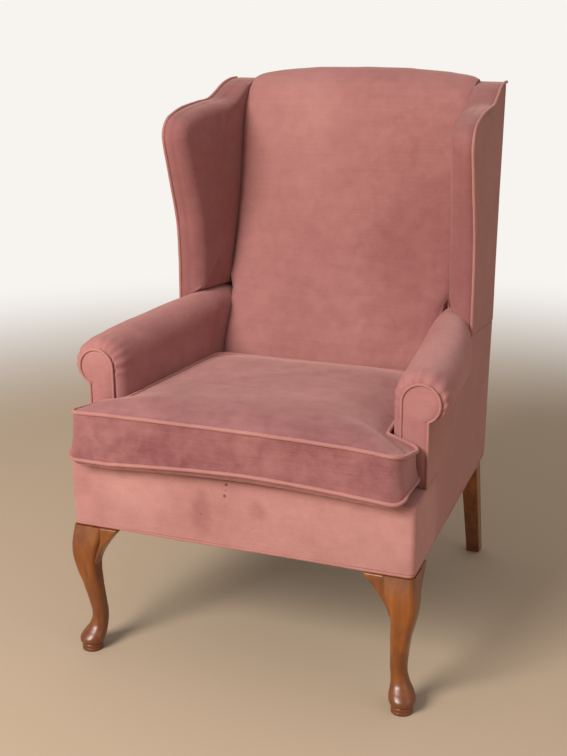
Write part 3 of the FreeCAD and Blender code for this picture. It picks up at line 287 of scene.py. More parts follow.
def closed_form(name, rings, crease=60):
    """A closed mesh through rings of points, with a point in the middle of each end."""
    count = len(rings[0])
    spots = np.vstack([*rings, np.mean(rings[0], axis=0), np.mean(rings[-1], axis=0)])
    faces = []
    for row in range(len(rings) - 1):
        for k in range(count):
            here = row * count + k
            beside = row * count + (k + 1) % count
            faces.append((here, beside, beside + count, here + count))
    end = len(spots) - 2
    last = (len(rings) - 1) * count
    for k in range(count):
        faces.append((end, (k + 1) % count, k))
        faces.append((end + 1, last + k, last + (k + 1) % count))
    return solid(name, spots, faces, crease)


def finished(piece, body, slot, finish, *nodes):
    """Gives a piece its finish and its body, and puts it in the place of its CAD nodes. The slot is not
    used.
    """
    piece.data.materials.clear()
    piece.data.materials.append(finish)
    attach(piece, body)
    if nodes:
        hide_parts(*nodes)


def rounded_square(centre, half, radius, level):
    """64 points round a square whose corners are rounded."""
    spots = []
    for k in range(4):
        turn = k * math.pi / 2
        hub = (half - radius) * math.sqrt(2)
        hub_x = centre[0] + hub * math.cos(turn + math.pi / 4)
        hub_y = centre[1] + hub * math.sin(turn + math.pi / 4)
        for angle in np.linspace(turn, turn + math.pi / 2, 16):
            spots.append((hub_x + radius * math.cos(angle), hub_y + radius * math.sin(angle), level))
    return spots


# Which way each side lies from the middle, and its name
both_sides = ((1, "right"), (-1, "left"))
foot_centre = np.array([0.3195, -0.3435])
# Height, where the middle lies from the foot's middle across and back, half the side and the corner's radius
leg_shape = [
    (0.2675, -0.0105, 0.0165, 0.0300, 0.0080),
    (0.2400, -0.0065, 0.0075, 0.0290, 0.0100),
    (0.2230, -0.0025, 0.0035, 0.0270, 0.0120),
    (0.2050, 0.0, 0.0020, 0.0245, 0.0120),
    (0.1900, 0.0, 0.0020, 0.0225, 0.0120),
    (0.1700, -0.0020, 0.0025, 0.0203, 0.0118),
    (0.1500, -0.0053, 0.0047, 0.0184, 0.0120),
    (0.1300, -0.0075, 0.0075, 0.0172, 0.0125),
    (0.1100, -0.0095, 0.0110, 0.0163, 0.0128),
    (0.0950, -0.0109, 0.0133, 0.0158, 0.0132),
    (0.0800, -0.0119, 0.0155, 0.0156, 0.0136),
    (0.0650, -0.0112, 0.0170, 0.0158, 0.0143),
    (0.0500, -0.0080, 0.0150, 0.0180, 0.0168),
    (0.0400, -0.0045, 0.0105, 0.0215, 0.0205),
    (0.0330, -0.0025, 0.0060, 0.0238, 0.0230),
    (0.0260, -0.0005, 0.0020, 0.0248, 0.0243),
    (0.0190, 0.0, 0.0, 0.0234, 0.0230),
    (0.0155, 0.0, 0.0, 0.0208, 0.0206),
]
# Height and radius
disc_shape = [(0.0140, 0.0198), (0.0132, 0.0205), (0.0086, 0.0205), (0.0078, 0.0197), (0.0066, 0.0197)]
disc_shape += [(0.0058, 0.0205), (0.0012, 0.0205), (0.0, 0.0195)]
block_half = 0.0218
block_centre = np.array([0.3125, -0.3297])

for side, word in both_sides:
    rings = []
    for level, half in ((0.388, block_half), (0.276, block_half), (0.276, 0.018), (0.2676, 0.018)):
        rings.append(rounded_square(block_centre, half, 0.008, level))
    for level, across, back, half, radius in smooth_line(leg_shape, 110):
        rings.append(rounded_square(foot_centre + (across, back), half, min(radius, half - 0.0002), level))
    for level, radius in disc_shape:
        rings.append(rounded_square(foot_centre, radius, radius - 0.0001, level))
    rings = [np.array(ring) * (side, 1, 1) for ring in rings]
    leg = closed_form(f"carved_leg_{word}", rings, 40)
    finished(leg, "chair_frame", "leg_wood", leg_finishes[side], f"front_leg_{word}")

# Knee blocks
# Two small shaped blocks glued beside each knee. They carry its curve out along the front and the side rail.


def shrunk(outline, pole, kept):
    """An outline drawn in towards a point, with a share of its reach kept."""
    return pole + (outline - pole) * kept


knee_centre = foot_centre + (-0.0105, 0.0165)
# How far from the knee's middle, and the height
knee_line = [(0.004, 0.1875), (0.0125, 0.1875), (0.0160, 0.1990), (0.0215, 0.2110), (0.0290, 0.2225)]
knee_line += [(0.0375, 0.2345), (0.0475, 0.2470), (0.0570, 0.2575), (0.0628, 0.2635), (0.0632, 0.2674)]
knee_line.append((0.004, 0.2674))
knee_shape = spaced(knee_line, 90, True)
knee_middle = np.array([0.026, 0.246])
# How far out each ring stands and how much of the outline it keeps
knee_rings = [(0.004, 1.0), (0.015, 1.0), (0.0235, 1.0), (0.0262, 0.985), (0.028, 0.95)]
knee_rings += [(0.0288, 0.88), (0.029, 0.6)]
# The side, the way along the rail and the way out of it, for the front and the side rail
knee_places = [(side, *ways) for side in (1, -1) for ways in (((-1, 0), (0, -1)), ((0, 1), (1, 0)))]

for number, (side, along, across) in enumerate(knee_places):
    rings = []
    for out, kept in knee_rings:
        shape = shrunk(knee_shape, knee_middle, kept)
        plan = knee_centre + np.outer(shape[:, 0], along) + np.array(across) * out
        rings.append(np.column_stack([plan, shape[:, 1]]) * (side, 1, 1))
    knee = closed_form(f"knee_ear_{number + 1}", rings, 40)
    finished(knee, "chair_frame", "leg_wood", leg_finishes[side], "knee_blocks")

# Back legs
# Plain square posts of the same wood. They splay back under the seat and lean with the back above it.

for side, word in both_sides:
    post_line = [(0.276, 0.381, 0.0, 0.0140), (0.276, 0.381, 0.0015, 0.015), (0.283, 0.276, 0.268, 0.018)]
    post_line.append((0.2787, 0.358, 1.036, 0.018))
    dense = np.vstack([post_line[:1], spaced(post_line[1:3], 20), spaced(post_line[2:], 12)[1:]])
    rings = [rounded_square((x, y), half, 0.0026, z) for x, y, z, half in dense]
    post = closed_form(f"square_leg_{word}", [np.array(ring) * (side, 1, 1) for ring in rings], 40)
    finished(post, "chair_frame", "leg_wood", back_leg_finish, f"rear_leg_{word}")

# Velvet
# Dusty pink cotton velvet. The short pile lies in patches that look lighter or darker, in faint lines across
# the cloth, and it is worn and spotted in a few places.


def velvet(name, light, dark, line_scale=(14, 14, 300), spots=(), patches=(), patch_size=6.0):
    """Velvet between two colours. A patch is lighter or darker round its centre, and a spot is a stain."""
    made, tree, finish, place = new_finish(name)
    wide = clouded(tree, place, patch_size, 4.0, 0.7)
    small = clouded(tree, place, 38.0, 4.0, 0.4)
    lines = clouded(tree, drawn_out(tree, place, line_scale), 1.0, 3.0)
    pile = clouded(tree, place, 900.0, 2.0)
    share = 0.5
    for pattern, weight in ((wide, 0.85), (small, 0.45), (lines, 0.22), (pile, 0.55)):
        share = worked(tree, "MULTIPLY_ADD", worked(tree, "SUBTRACT", pattern, 0.5), weight, share)
    # A placed patch lightens or darkens the cloth round its centre. On the back and the cushion the patches
    # are painted light and painted shade.
    for centre, reach, amount in patches:
        far = shifted(tree, "MULTIPLY", shifted(tree, "SUBTRACT", place, centre), [1 / r for r in reach])
        far = worked(tree, "MULTIPLY_ADD", small, 0.3, distance(tree, "LENGTH", far))
        share = worked(tree, "ADD", share, ranged(tree, far, 1.3, 0.6, amount))
    share = node(tree, "ShaderNodeClamp", {0: share}).outputs[0]
    colour = blended(tree, share, dark, light)
    for centre, radius, strength in spots:
        far = distance(tree, "DISTANCE", place, centre)
        far = worked(tree, "MULTIPLY_ADD", pile, radius * 0.8, far)
        stain = ranged(tree, far, radius * 1.6, radius * 0.9, strength)
        colour = blended(tree, stain, colour, tint(96, 44, 28))
    tree.links.new(colour, finish.inputs["Base Color"])
    finish.inputs["Roughness"].default_value = 0.95
    finish.inputs["Specular IOR Level"].default_value = 0.12
    finish.inputs["Sheen Weight"].default_value = 0.55
    finish.inputs["Sheen Roughness"].default_value = 0.42
    finish.inputs["Sheen Tint"].default_value = tint(244, 196, 184)
    relief = raised(tree, lines, 0.3, 0.0012, raised(tree, pile, 0.5, 0.0012))
    tree.links.new(relief, finish.inputs["Normal"])
    return made


pink = tint(190, 134, 128)
mauve = tint(150, 92, 91)
cover_velvet = velvet("velvet_plain", pink, mauve)
piping_velvet = velvet("velvet_piping", tint(194, 138, 129), tint(158, 102, 96), (200, 200, 200))

# Inside back
# A tall padded back in one piece of velvet. It swells forward, is drawn back along both sides where it meets
# the wings, and rolls over the crest to the rear.


def lumps(points, reach, seed):
    """The soft unevenness of stuffing at each point, from -1 to 1."""
    shift = Vector((seed * 7.1, seed * 3.7, seed * 5.3))
    return np.array([noise.noise(Vector(point) / reach + shift) for point in points])


def pressed(piece, amount):
    """Moves each point of a piece out along its own normal by an amount worked out from all the points."""
    count = len(piece.data.vertices)
    spots = np.empty(count * 3, np.float32)
    normals = np.empty(count * 3, np.float32)
    piece.data.vertices.foreach_get("co", spots)
    piece.data.vertices.foreach_get("normal", normals)
    spots = spots.reshape(-1, 3)
    moved = spots + normals.reshape(-1, 3) * amount(spots)[:, None]
    piece.data.vertices.foreach_set("co", moved.ravel())
    piece.data.update()


def pulls(points, lines):
    """Ridges and hollows in cloth. Each line is its start, its end, its width and its height."""
    total = np.zeros(len(points))
    for start, end, width, height in lines:
        start = np.array(start)
        along = np.array(end) - start
        share = np.clip((points - start) @ along / (along @ along), 0, 1)
        far = np.linalg.norm(points - start - np.outer(share, along), axis=1)
        swell = 0.35 + 0.65 * np.sin(math.pi * (0.15 + 0.7 * share))
        total += height * np.exp(-((far / width) ** 2)) * swell
    return total


def back_y(level, depth=0.0):
    """Where the leaning back's outside stands at a height, less a depth."""
    return 0.302 + 0.108 * (level - 0.268) - depth


def back_half(level):
    """Half the padded back's width: it is narrower below the wings, where the arms meet it."""
    return 0.2337 + 0.0161 * np.clip((level - 0.618) / 0.034, 0, 1)


chair_height = 1.091
# For each share of half the width: how far the front falls back and how far the top drops
back_fall = np.array([(0, 0, 0), (0.42, 0.0025, 0.0015), (0.76, 0.008, 0.0085), (0.9, 0.013, 0.0135)])
back_fall = np.vstack([back_fall, (0.96, 0.018, 0.017), (1.0, 0.027, 0.022)])
rings = []
for share in np.concatenate([[-1], np.linspace(-0.99, 0.99, 97), [1]]):
    fall = np.interp(abs(share), back_fall[:, 0], back_fall[:, 1])
    drop = np.interp(abs(share), back_fall[:, 0], back_fall[:, 2])
    top = chair_height - drop
    front = [
        (back_y(0.425, 0.228) + fall, 0.427),
        (back_y(0.515, 0.231) + fall, 0.515),
        (back_y(0.600, 0.199) + fall, 0.600),
        (back_y(0.685, 0.161) + fall, 0.685),
        (back_y(0.820, 0.127) + fall * 0.8, 0.820),
        (back_y(top - 0.136, 0.114) + fall * 0.6, top - 0.136),
        (back_y(top - 0.070, 0.102) + fall * 0.4, top - 0.070),
        (back_y(top - 0.030, 0.080) + fall * 0.2, top - 0.030),
        (back_y(top, 0.052) + fall * 0.1, top - 0.008),
        (back_y(top, 0.027), top),
        (back_y(top, 0.012), top - 0.003),
        (back_y(top, 0.003), top - 0.014),
    ]
    behind = [(back_y(top, 0.0035), top - 0.024), (back_y(top, 0.046), top - 0.027)]
    behind += [(back_y(top, 0.048), top - 0.034), (back_y(0.427, 0.048), 0.427), front[0]]
    profile = np.vstack([smooth_line(front, 150), spaced(behind, 60)[1:-1]])
    rings.append(np.column_stack([share * back_half(profile[:, 1]), profile]))
padded_back = closed_form("velvet_back", rings)
pressed(padded_back, lambda spots: 0.0022 * lumps(spots, 0.16, 1) + 0.0005 * lumps(spots, 0.035, 2))
back_spots = [((-0.1313, 0.2913, 1.0438), 0.0035, 0.6), ((-0.1168, 0.2925, 1.0475), 0.003, 0.4)]
back_spots += [((-0.0387, 0.3023, 1.0772), 0.003, 0.55), ((-0.157, 0.2644, 0.9625), 0.003, 0.25)]
# Painted light and shade: a lighter patch high on the left, where the light falls, and a darker one on the
# right.
back_painted_light_and_shade = [((-0.14, 0.25, 1.0), (0.14, 0.2, 0.09), 0.2), ((0.16, 0.2, 0.75), (0.11, 0.3, 0.26), -0.22)]
# The back's velvet is the pink cloth painted a little darker: painted shade.
back_pink_with_painted_shade = tint(184, 129, 122)
back_mauve_with_painted_shade = tint(142, 86, 84)
back_velvet = velvet("velvet_back_cloth", back_pink_with_painted_shade, back_mauve_with_painted_shade, (5, 5, 420), back_spots, back_painted_light_and_shade, 3.5)
finished(padded_back, "chair_frame", "velvet", back_velvet, "inside_back_cover", "back_pad")

# Wings
# Each wing is a padded side of the back. Its cloth covers the front edge as a band and turns over a soft
# round edge to the inner face. The front leans out, curls over at the top and dips behind it.

box_front = -0.354
box_rear = 0.302
box_half = 0.339
side_taper = 0.04573


def side_x(y):
    """How far out the side plane of the chair stands at a distance back."""
    return box_half - side_taper * (np.asarray(y) - box_front)


wing_foot = 0.6345
wing_heel = (0.3388, wing_foot)
wing_edge = [(0.0881, wing_foot), (0.0901, 0.675), (0.0901, 0.715), (0.0861, 0.784), (0.0691, 0.851)]
wing_edge += [(0.0491, 0.919), (0.0391, 0.956), (0.0391, 0.974), (0.0461, 0.988), (0.0580, 0.999)]
wing_edge += [(0.0740, 1.006), (0.118, 1.017), (0.176, 1.023), (0.235, 1.027), (0.270, 1.039)]
wing_edge += [(0.304, 1.054), (0.343, 1.063), (0.3852, 1.064)]
wing_shown = smooth_line(wing_edge, 130)
wing_rear = spaced([wing_edge[-1], wing_heel], 34)[1:]
wing_under = spaced([wing_heel, wing_edge[0]], 30)[1:-1]
wing_shape = np.vstack([wing_shown, wing_rear, wing_under])
wing_weight = np.concatenate([np.ones(130), np.zeros(33), np.full(28, 0.4)])
wing_weight[120:130] = np.linspace(1, 0, 10)
wing_pole = np.array([0.26, 0.84])


def inward(shape):
    """The direction into a closed outline at each of its points."""
    along = np.roll(shape, -2, axis=0) - np.roll(shape, 2, axis=0)
    across = np.column_stack([-along[:, 1], along[:, 0]])
    across /= np.linalg.norm(across, axis=1)[:, None]
    towards = np.sum(across * (shape.mean(axis=0) - shape), axis=1).mean()
    return across * math.copysign(1, towards)


wing_inward = inward(wing_shape) * wing_weight[:, None]
# How far each ring is drawn in, and its share of the way from the outer to the inner face
wing_bands = [(0.003, 0.045), (0.0012, 0.02), (0.0004, 0.05), (-0.0012, 0.13), (-0.0020, 0.23)]
wing_bands += [(-0.0018, 0.33), (-0.0010, 0.41)]
edge_round = 0.025
edge_width = 0.045
for turn in np.radians([0, 11, 22, 34, 46, 58, 69, 80, 90]):
    drawn_in = edge_round * (1 - math.cos(turn))
    wing_bands.append((drawn_in, 1 - edge_round / edge_width * (1 - math.sin(turn))))


def on_arm(x, shape):
    """Lets the wing's bottom edge down onto the arm's round top, at a distance out."""
    middle = (side_x(shape[:, 0]) + 0.2325) / 2
    half = middle - 0.236
    roof = 0.589 + 0.044 * np.sqrt(np.clip(1 - ((x - middle) / half) ** 2, 0.0, 1))
    share = np.clip((wing_foot + 0.0655 - shape[:, 1]) / 0.0655, 0, 1)
    return shape[:, 1] - share * (wing_foot - np.minimum(roof + 0.0012, wing_foot))


def wing_ring(side, shape, share, puff):
    """An outline of the wing, a share of the way from its outer to its inner face."""
    thickness = 0.044 + 0.119 * (shape[:, 0] - 0.0451)
    x = side_x(shape[:, 0]) - thickness * share - puff
    x = np.maximum(x, 0.2506)
    return np.column_stack([side * x, shape[:, 0], on_arm(x, shape)])


curl = np.array([0.075, 0.965])
# Painted shade: the wings' velvet is the pink cloth painted darker, for inner faces turned away from the
# light.
wing_pink_with_painted_shade = tint(166, 112, 107)
wing_mauve_with_painted_shade = tint(128, 74, 73)
for side, word in both_sides:
    rings = [wing_ring(side, wing_shape + wing_inward * inset, share, 0) for inset, share in wing_bands]
    turned = wing_shape + wing_inward * edge_round
    for kept in np.concatenate([[0.975, 0.95], np.linspace(0.92, 0.04, 40)]):
        shape = shrunk(turned, wing_pole, kept)
        rings.append(wing_ring(side, shape, 1, 0.005 * (1 - kept**4)))
    wing = closed_form(f"velvet_wing_{word}", rings)
    gathers = []
    for k in range(7):
        angle = math.radians(95 + 22 * k)
        reach = np.array([math.cos(angle), math.sin(angle)])
        near = curl + reach * 0.012
        far = curl + reach * 0.034
        height = 0.0009 if k % 2 else -0.0008
        gathers.append(((side * 0.278, *near), (side * 0.286, *far), 0.0032, height))

    def wing_press(spots):
        soft = 0.0013 * lumps(spots, 0.11, 3 + side) + 0.0004 * lumps(spots, 0.03, 5 + side)
        return soft + pulls(spots, gathers)

    pressed(wing, wing_press)
    wing_velvet = velvet(f"velvet_wing_cloth_{word}", wing_pink_with_painted_shade, wing_mauve_with_painted_shade, (5, 5, 420), patch_size=4.5)
    finished(wing, "chair_frame", "velvet", wing_velvet, f"wing_cover_{word}", f"wing_pad_{word}")

# Arms
# The padded inside of each arm rolls out over the top to the side. The cloth is pleated into the round
# scroll at the front and runs under the wing to the back.

arm_front = -0.272
arm_bottom = 0.3886


def bend(start, middle, end, count=16):
    """Points of the circular arc through three points of a plane."""
    a, b, c = (complex(*spot) for spot in (start, middle, end))
    w = (c - a) / (b - a)
    if abs(w.imag) < 1e-6:
        return spaced([start, middle, end], count)
    centre = a + (b - a) * (w - abs(w) ** 2) / (2j * w.imag)
    turn = np.angle((b - centre) / (a - centre)) + np.angle((c - centre) / (b - centre))
    spots = centre + (a - centre) * np.exp(1j * turn * np.linspace(0, 1, count))
    return np.column_stack([spots.real, spots.imag])


def stood_up(shape, y, side):
    """Points given by how far out and how high they are, stood at a distance back on one side."""
    return np.column_stack([side * shape[:, 0], np.full(len(shape), y), shape[:, 1]])


def arm_ring(side, y):
    """The arm's section at a distance back: the shown cloth, then the hidden side against the frame."""
    behind = y - arm_front
    run = min(behind / 0.3701, 1)
    puff = math.sqrt(max(1 - (1 - min(behind / 0.026, 1)) ** 2, 0))
    inner = max(side_x(y) - 0.067 - 0.016 * run, 0.234) + (1 - puff) * 0.022
    top = 0.616 + 0.017 * run - (1 - puff) * 0.020
    waist = 0.563 + 0.026 * run
    board = side_x(y) - 0.0023
    outer = side_x(y) + 0.036 - 0.0386 * run**2.6 - (1 - puff) * 0.012
    middle = (inner + outer) / 2
    rise = waist + 0.71 * (top - waist)
    under = 0.530
    curl_in = (board + 0.78 * (outer - board), under + 0.34 * (waist - under))
    shown = np.vstack(
        [
            spaced([(inner, arm_bottom), (inner, waist)], 24)[:-1],
            bend((inner, waist), (inner + 0.29 * (middle - inner), rise), (middle, top))[:-1],
            bend((middle, top), (outer - 0.29 * (outer - middle), rise), (outer, waist))[:-1],
            bend((outer, waist), curl_in, (board, under)),
        ]
    )
    face = max(board - 0.042, inner + 0.004)
    hidden = [(board, under), (face, under), (face, arm_bottom), (inner, arm_bottom)]
    section = np.vstack([spaced(shown, 90), spaced(hidden, 30)[1:-1]])
    return stood_up(section, y, side)


arm_cloth_front = -0.269
front_steps = np.array([0.0002, 0.001, 0.002, 0.003, 0.0045, 0.006, 0.008, 0.0105, 0.0135, 0.017, 0.021])
arm_places = np.concatenate([arm_cloth_front + front_steps, np.linspace(-0.244, 0.290, 100)])
for side, word in both_sides:
    arm = closed_form(f"velvet_arm_{word}", [arm_ring(side, y) for y in arm_places])

    def arm_press(spots):
        front = np.clip(1 - (spots[:, 1] - arm_cloth_front) / 0.05, 0, 1)
        angle = np.arctan2(spots[:, 2] - 0.561, side * spots[:, 0] - 0.315)
        pleats = np.cos(angle * 17 + 1.5 * np.sin(angle * 3)) * front * (spots[:, 2] > 0.55)
        soft = 0.0016 * lumps(spots, 0.10, 7 + side) + 0.0005 * lumps(spots, 0.03, 9 + side)
        shown = np.clip((spots[:, 1] + 0.268) / 0.02, 0, 1)
        return soft * shown + 0.0013 * pleats

    pressed(arm, arm_press)
    arm_velvet = velvet(f"velvet_arm_cloth_{word}", pink, mauve, (300, 14, 60), patch_size=7.0)
    finished(arm, "chair_frame", "velvet", arm_velvet, f"inside_arm_cover_{word}", f"arm_pad_{word}")

# Scroll facings
# A thin padded board covered in velvet closes the front of each arm. It is round at the scroll and narrow
# below, and its cloth is turned in at the piping.

scroll = np.array([0.321, 0.561])
facing_radius = 0.035
facing_outer = float(side_x(arm_front)) - 0.0002
meet_drop = math.sqrt(facing_radius**2 - (facing_outer - scroll[0]) ** 2)
facing_foot = 0.406
head_turns = np.radians(range(180, -66, -6))
facing_head = [scroll + facing_radius * np.array([math.cos(turn), math.sin(turn)]) for turn in head_turns]
facing_line = [(0.286, facing_foot), *facing_head]
facing_line += [(facing_outer, scroll[1] - meet_drop), (facing_outer, facing_foot)]
facing_shape = spaced(facing_line, 150, True)
facing_pole = np.array([0.3105, 0.53])
facing_back = -0.2692
facing_front = -0.2715
facing_swell = 0.0042
for side, word in both_sides:
    rings = []
    for kept in (0.3, 0.999):
        shape = shrunk(facing_shape, facing_pole, kept)
        rings.append(stood_up(shape, facing_back, side))
    for kept in (1.0, 0.985, 0.95, 0.9, 0.8, 0.7, 0.6, 0.5, 0.4, 0.3, 0.2, 0.1):
        shape = shrunk(facing_shape, facing_pole, kept)
        rings.append(stood_up(shape, facing_front - facing_swell * (1 - kept**3), side))
    facing = closed_form(f"scroll_facing_{word}", rings)
    finished(facing, "chair_frame", "velvet", cover_velvet, f"arm_facing_{word}")

# Piping
# A cord covered in the same velvet is sewn into the seams round the scrolls and the wings. A thicker one
# runs round the seat's bottom edge.


def piping(name, runs, radius, closed=False):
    """Round cords along lines of points, with the slight unevenness of sewn cloth."""
    path = bpy.data.curves.new(name, "CURVE")
    path.dimensions = "3D"
    path.bevel_depth = radius
    path.bevel_resolution = 3
    path.use_fill_caps = True
    for number, run in enumerate(runs):
        spots = np.array(run)
        wave = np.column_stack([lumps(spots, 0.03, number + shift) for shift in (11, 13, 17)])
        spots = spots + wave * 0.0004
        drawn = path.splines.new("POLY")
        drawn.points.add(len(spots) - 1)
        drawn.points.foreach_set("co", np.column_stack([spots, np.ones(len(spots))]).ravel())
        drawn.points.foreach_set("radius", 1 + 0.05 * lumps(spots, 0.018, number + 19))
        drawn.use_cyclic_u = closed
    holder = bpy.data.objects.new(name + "_path", path)
    scene.collection.objects.link(holder)
    mesh = bpy.data.meshes.new_from_object(holder.evaluated_get(bpy.context.evaluated_depsgraph_get()))
    bpy.data.objects.remove(holder)
    return placed(name, mesh, merge=True)


def rounded_line(corners, count):
    """A closed outline of straight runs and arcs. Each corner is given as a point and its radius."""
    line = []
    for k, (spot, radius) in enumerate(corners):
        here = np.array(spot, float)
        if radius <= 0:
            line.append(here)
            continue
        way_in = here - np.array(corners[k - 1][0])
        way_out = np.array(corners[(k + 1) % len(corners)][0]) - here
        room = 0.45 * min(np.linalg.norm(way_in), np.linalg.norm(way_out))
        way_in /= np.linalg.norm(way_in)
        way_out /= np.linalg.norm(way_out)
        half_turn = math.acos(np.clip(way_in @ way_out, -1, 1)) / 2
        cut = min(radius * math.tan(half_turn), room)
        weight = math.cos(half_turn)
        for t in np.linspace(0, 1, 11):
            shares = np.array([(1 - t) ** 2, 2 * weight * t * (1 - t), t**2])
            line.append(shares @ np.array([here - way_in * cut, here, here + way_out * cut]) / shares.sum())
    return spaced(line, count, True)


facing_route = spaced(facing_line, 150)
wing_route = wing_shown[:128]
facing_seam = -0.2732
facing_runs = []
wing_runs = []
for side in (1, -1):
    facing_runs.append(stood_up(facing_route, facing_seam, side))
    out = side_x(wing_route[:, 0]) + 0.0008
    wing_runs.append(np.column_stack([side * out, wing_route[:, 0], on_arm(out - 0.004, wing_route)]))
facing_piping = piping("facing_piping", facing_runs, 0.0024)
finished(facing_piping, "chair_frame", "velvet", piping_velvet, "arm_facing_welts")
wing_piping = piping("wing_piping", wing_runs, 0.0032)
finished(wing_piping, "chair_frame", "velvet", piping_velvet, "wing_welts")


def at_level(plan, level):
    """Points seen from above, put at one height or each at its own."""
    return np.column_stack([plan, np.broadcast_to(level, len(plan))])


def box_corners(inset, front_radius, rear_radius):
    """The seat box's outline from above, as corners and their radii."""
    front = box_front + inset
    rear = box_rear - inset
    corners = [(0, front, 0), (side_x(front) - inset, front, front_radius)]
    corners += [(side_x(rear) - inset, rear, rear_radius), (-side_x(rear) + inset, rear, rear_radius)]
    corners.append((-side_x(front) + inset, front, front_radius))
    return [((float(x), y), radius) for x, y, radius in corners]


bottom_run = rounded_line(box_corners(0.0035, 0.0075, 0.007), 560)
bottom_level = 0.2715 + 0.0006 * np.sin(np.linspace(0, 14 * math.pi, len(bottom_run)))
bottom_piping = piping("bottom_piping", [at_level(bottom_run, bottom_level)], 0.0035, True)
finished(bottom_piping, "chair_frame", "velvet", piping_velvet, "bottom_welt")

# Front band
# One strip of velvet covers the front rail, wraps round both corners and ends in a seam on each side. Its
# top is turned in over the rail and its bottom is sewn to the piping.


def sheet_form(name, front, back):
    """A closed thin sheet between two grids of points, with an edge all round."""
    rows, columns = front.shape[:2]
    spots = np.vstack([front.reshape(-1, 3), back.reshape(-1, 3)])
    behind = rows * columns
    faces = []
    for row in range(rows - 1):
        for column in range(columns - 1):
            here = row * columns + column
            quad = (here, here + 1, here + columns + 1, here + columns)
            faces.append(quad)
            faces.append(tuple(behind + k for k in reversed(quad)))
    rim = list(range(columns)) + [row * columns + columns - 1 for row in range(1, rows)]
    rim += [(rows - 1) * columns + column for column in range(columns - 2, -1, -1)]
    rim += [row * columns for row in range(rows - 2, 0, -1)]
    for k, here in enumerate(rim):
        beside = rim[(k + 1) % len(rim)]
        faces.append((here, here + behind, beside + behind, beside))
    return solid(name, spots, faces)


band_seam_y = -0.190
band_foot = 0.2752


def band_plan(inset):
    """The band's line from above at an inset, with the same number of points on each stretch."""
    radius = max(0.010 - inset, 0.0008)
    front = box_front + inset
    middle_x = float(side_x(front)) - inset - radius
    turn = np.radians(np.linspace(90, 0, 9))
    corner = np.column_stack([middle_x + radius * np.cos(turn), front + radius * (1 - np.sin(turn))])
    rear_line = spaced([corner[-1], (float(side_x(band_seam_y)) - inset, band_seam_y)], 64)
    half = np.vstack([spaced([(0, front), corner[0]], 70)[:-1], corner[:-1], rear_line])
    return np.vstack([half[::-1] * (-1, 1), half[1:]])


band_shoulder = 0.3990
band_rows = [(level, 0.0) for level in np.linspace(band_foot, band_shoulder, 42)]
for turn in np.radians([22, 45, 67, 90]):
    band_rows.append((band_shoulder + 0.005 * math.sin(turn), 0.005 * (1 - math.cos(turn))))
band_rows += [(0.4044, inset) for inset in (0.008, 0.012, 0.018, 0.025, 0.032)]
band_edge = band_plan(0)
band_along = np.gradient(band_edge, axis=0)
band_out = np.column_stack([band_along[:, 1], -band_along[:, 0]])
band_out /= np.linalg.norm(band_out, axis=1)[:, None]
band_front = np.empty((len(band_rows), len(band_edge), 3))
band_back = np.empty_like(band_front)
for row, (level, inset) in enumerate(band_rows):
    swell = 0.0012 * math.sin(math.pi * min(max((level - band_foot) / 0.13, 0), 1))
    turned_in = inset > 0.004
    for store, deeper in ((band_front, 0.0), (band_back, 0.0018)):
        store[row, :, :2] = band_plan(inset + deeper * (not turned_in)) + band_out * swell * (not turned_in)
        store[row, :, 2] = level - deeper * turned_in
band_points = band_front.reshape(-1, 3)
ripple = 0.0011 * lumps(band_points, 0.09, 23) + 0.0003 * lumps(band_points, 0.025, 29)
ripple = ripple.reshape(len(band_rows), len(band_edge))
for store in (band_front, band_back):
    store[:, :, :2] += ripple[:, :, None] * band_out[None, :, :]
band = sheet_form("front_band", band_front, band_back)
band_spots = [((-0.0146, -0.355, 0.3943), 0.0032, 0.85), ((-0.0181, -0.355, 0.3724), 0.0034, 0.75)]
band_spots += [((-0.0165, -0.355, 0.383), 0.0022, 0.4), ((-0.0665, -0.355, 0.3298), 0.0022, 0.45)]
band_spots.append(((-0.3353, -0.352, 0.3299), 0.0022, 0.5))
band_patches = [((-0.0645, -0.355, 0.330), (0.022, 0.1, 0.05), -0.3)]
band_patches.append(((0.045, -0.355, 0.352), (0.02, 0.1, 0.02), -0.3))
band_patches.append(((-0.19, -0.355, 0.36), (0.10, 0.1, 0.05), 0.18))
band_light = tint(198, 146, 137)
band_dark = tint(158, 103, 98)
band_velvet = velvet("velvet_band_cloth", band_light, band_dark, spots=band_spots, patches=band_patches)
finished(band, "chair_frame", "velvet", band_velvet, "front_rail_cover")

# Outside panels
# Velvet stretched over each outside arm, each outside wing and the rear, blind sewn along its edges.


def panel(name, outline, pole, place, thickness):
    """A thin stretched panel. place turns the outline's points and a depth into points of the chair."""
    rings = []
    shares = np.concatenate([np.linspace(0.04, 0.96, 26), [0.985, 0.995, 1.0]])
    for kept in shares:
        edge_drop = 0.0007 * max(kept - 0.985, 0) / 0.015
        rings.append(place(shrunk(outline, pole, kept), edge_drop))
    for kept in shares[::-1]:
        rings.append(place(shrunk(outline, pole, kept), thickness))
    return closed_form(name, rings)


def on_side(side, seed):
    """Lays an outline of distances back and heights on the chair's side plane."""

    def place(shape, depth):
        spots = np.column_stack([side_x(shape[:, 0]), shape])
        soft = 0.0006 * lumps(spots * (side, 1, 1), 0.14, seed)
        spots[:, 0] += soft - depth - 0.0006
        return spots * (side, 1, 1)

    return place


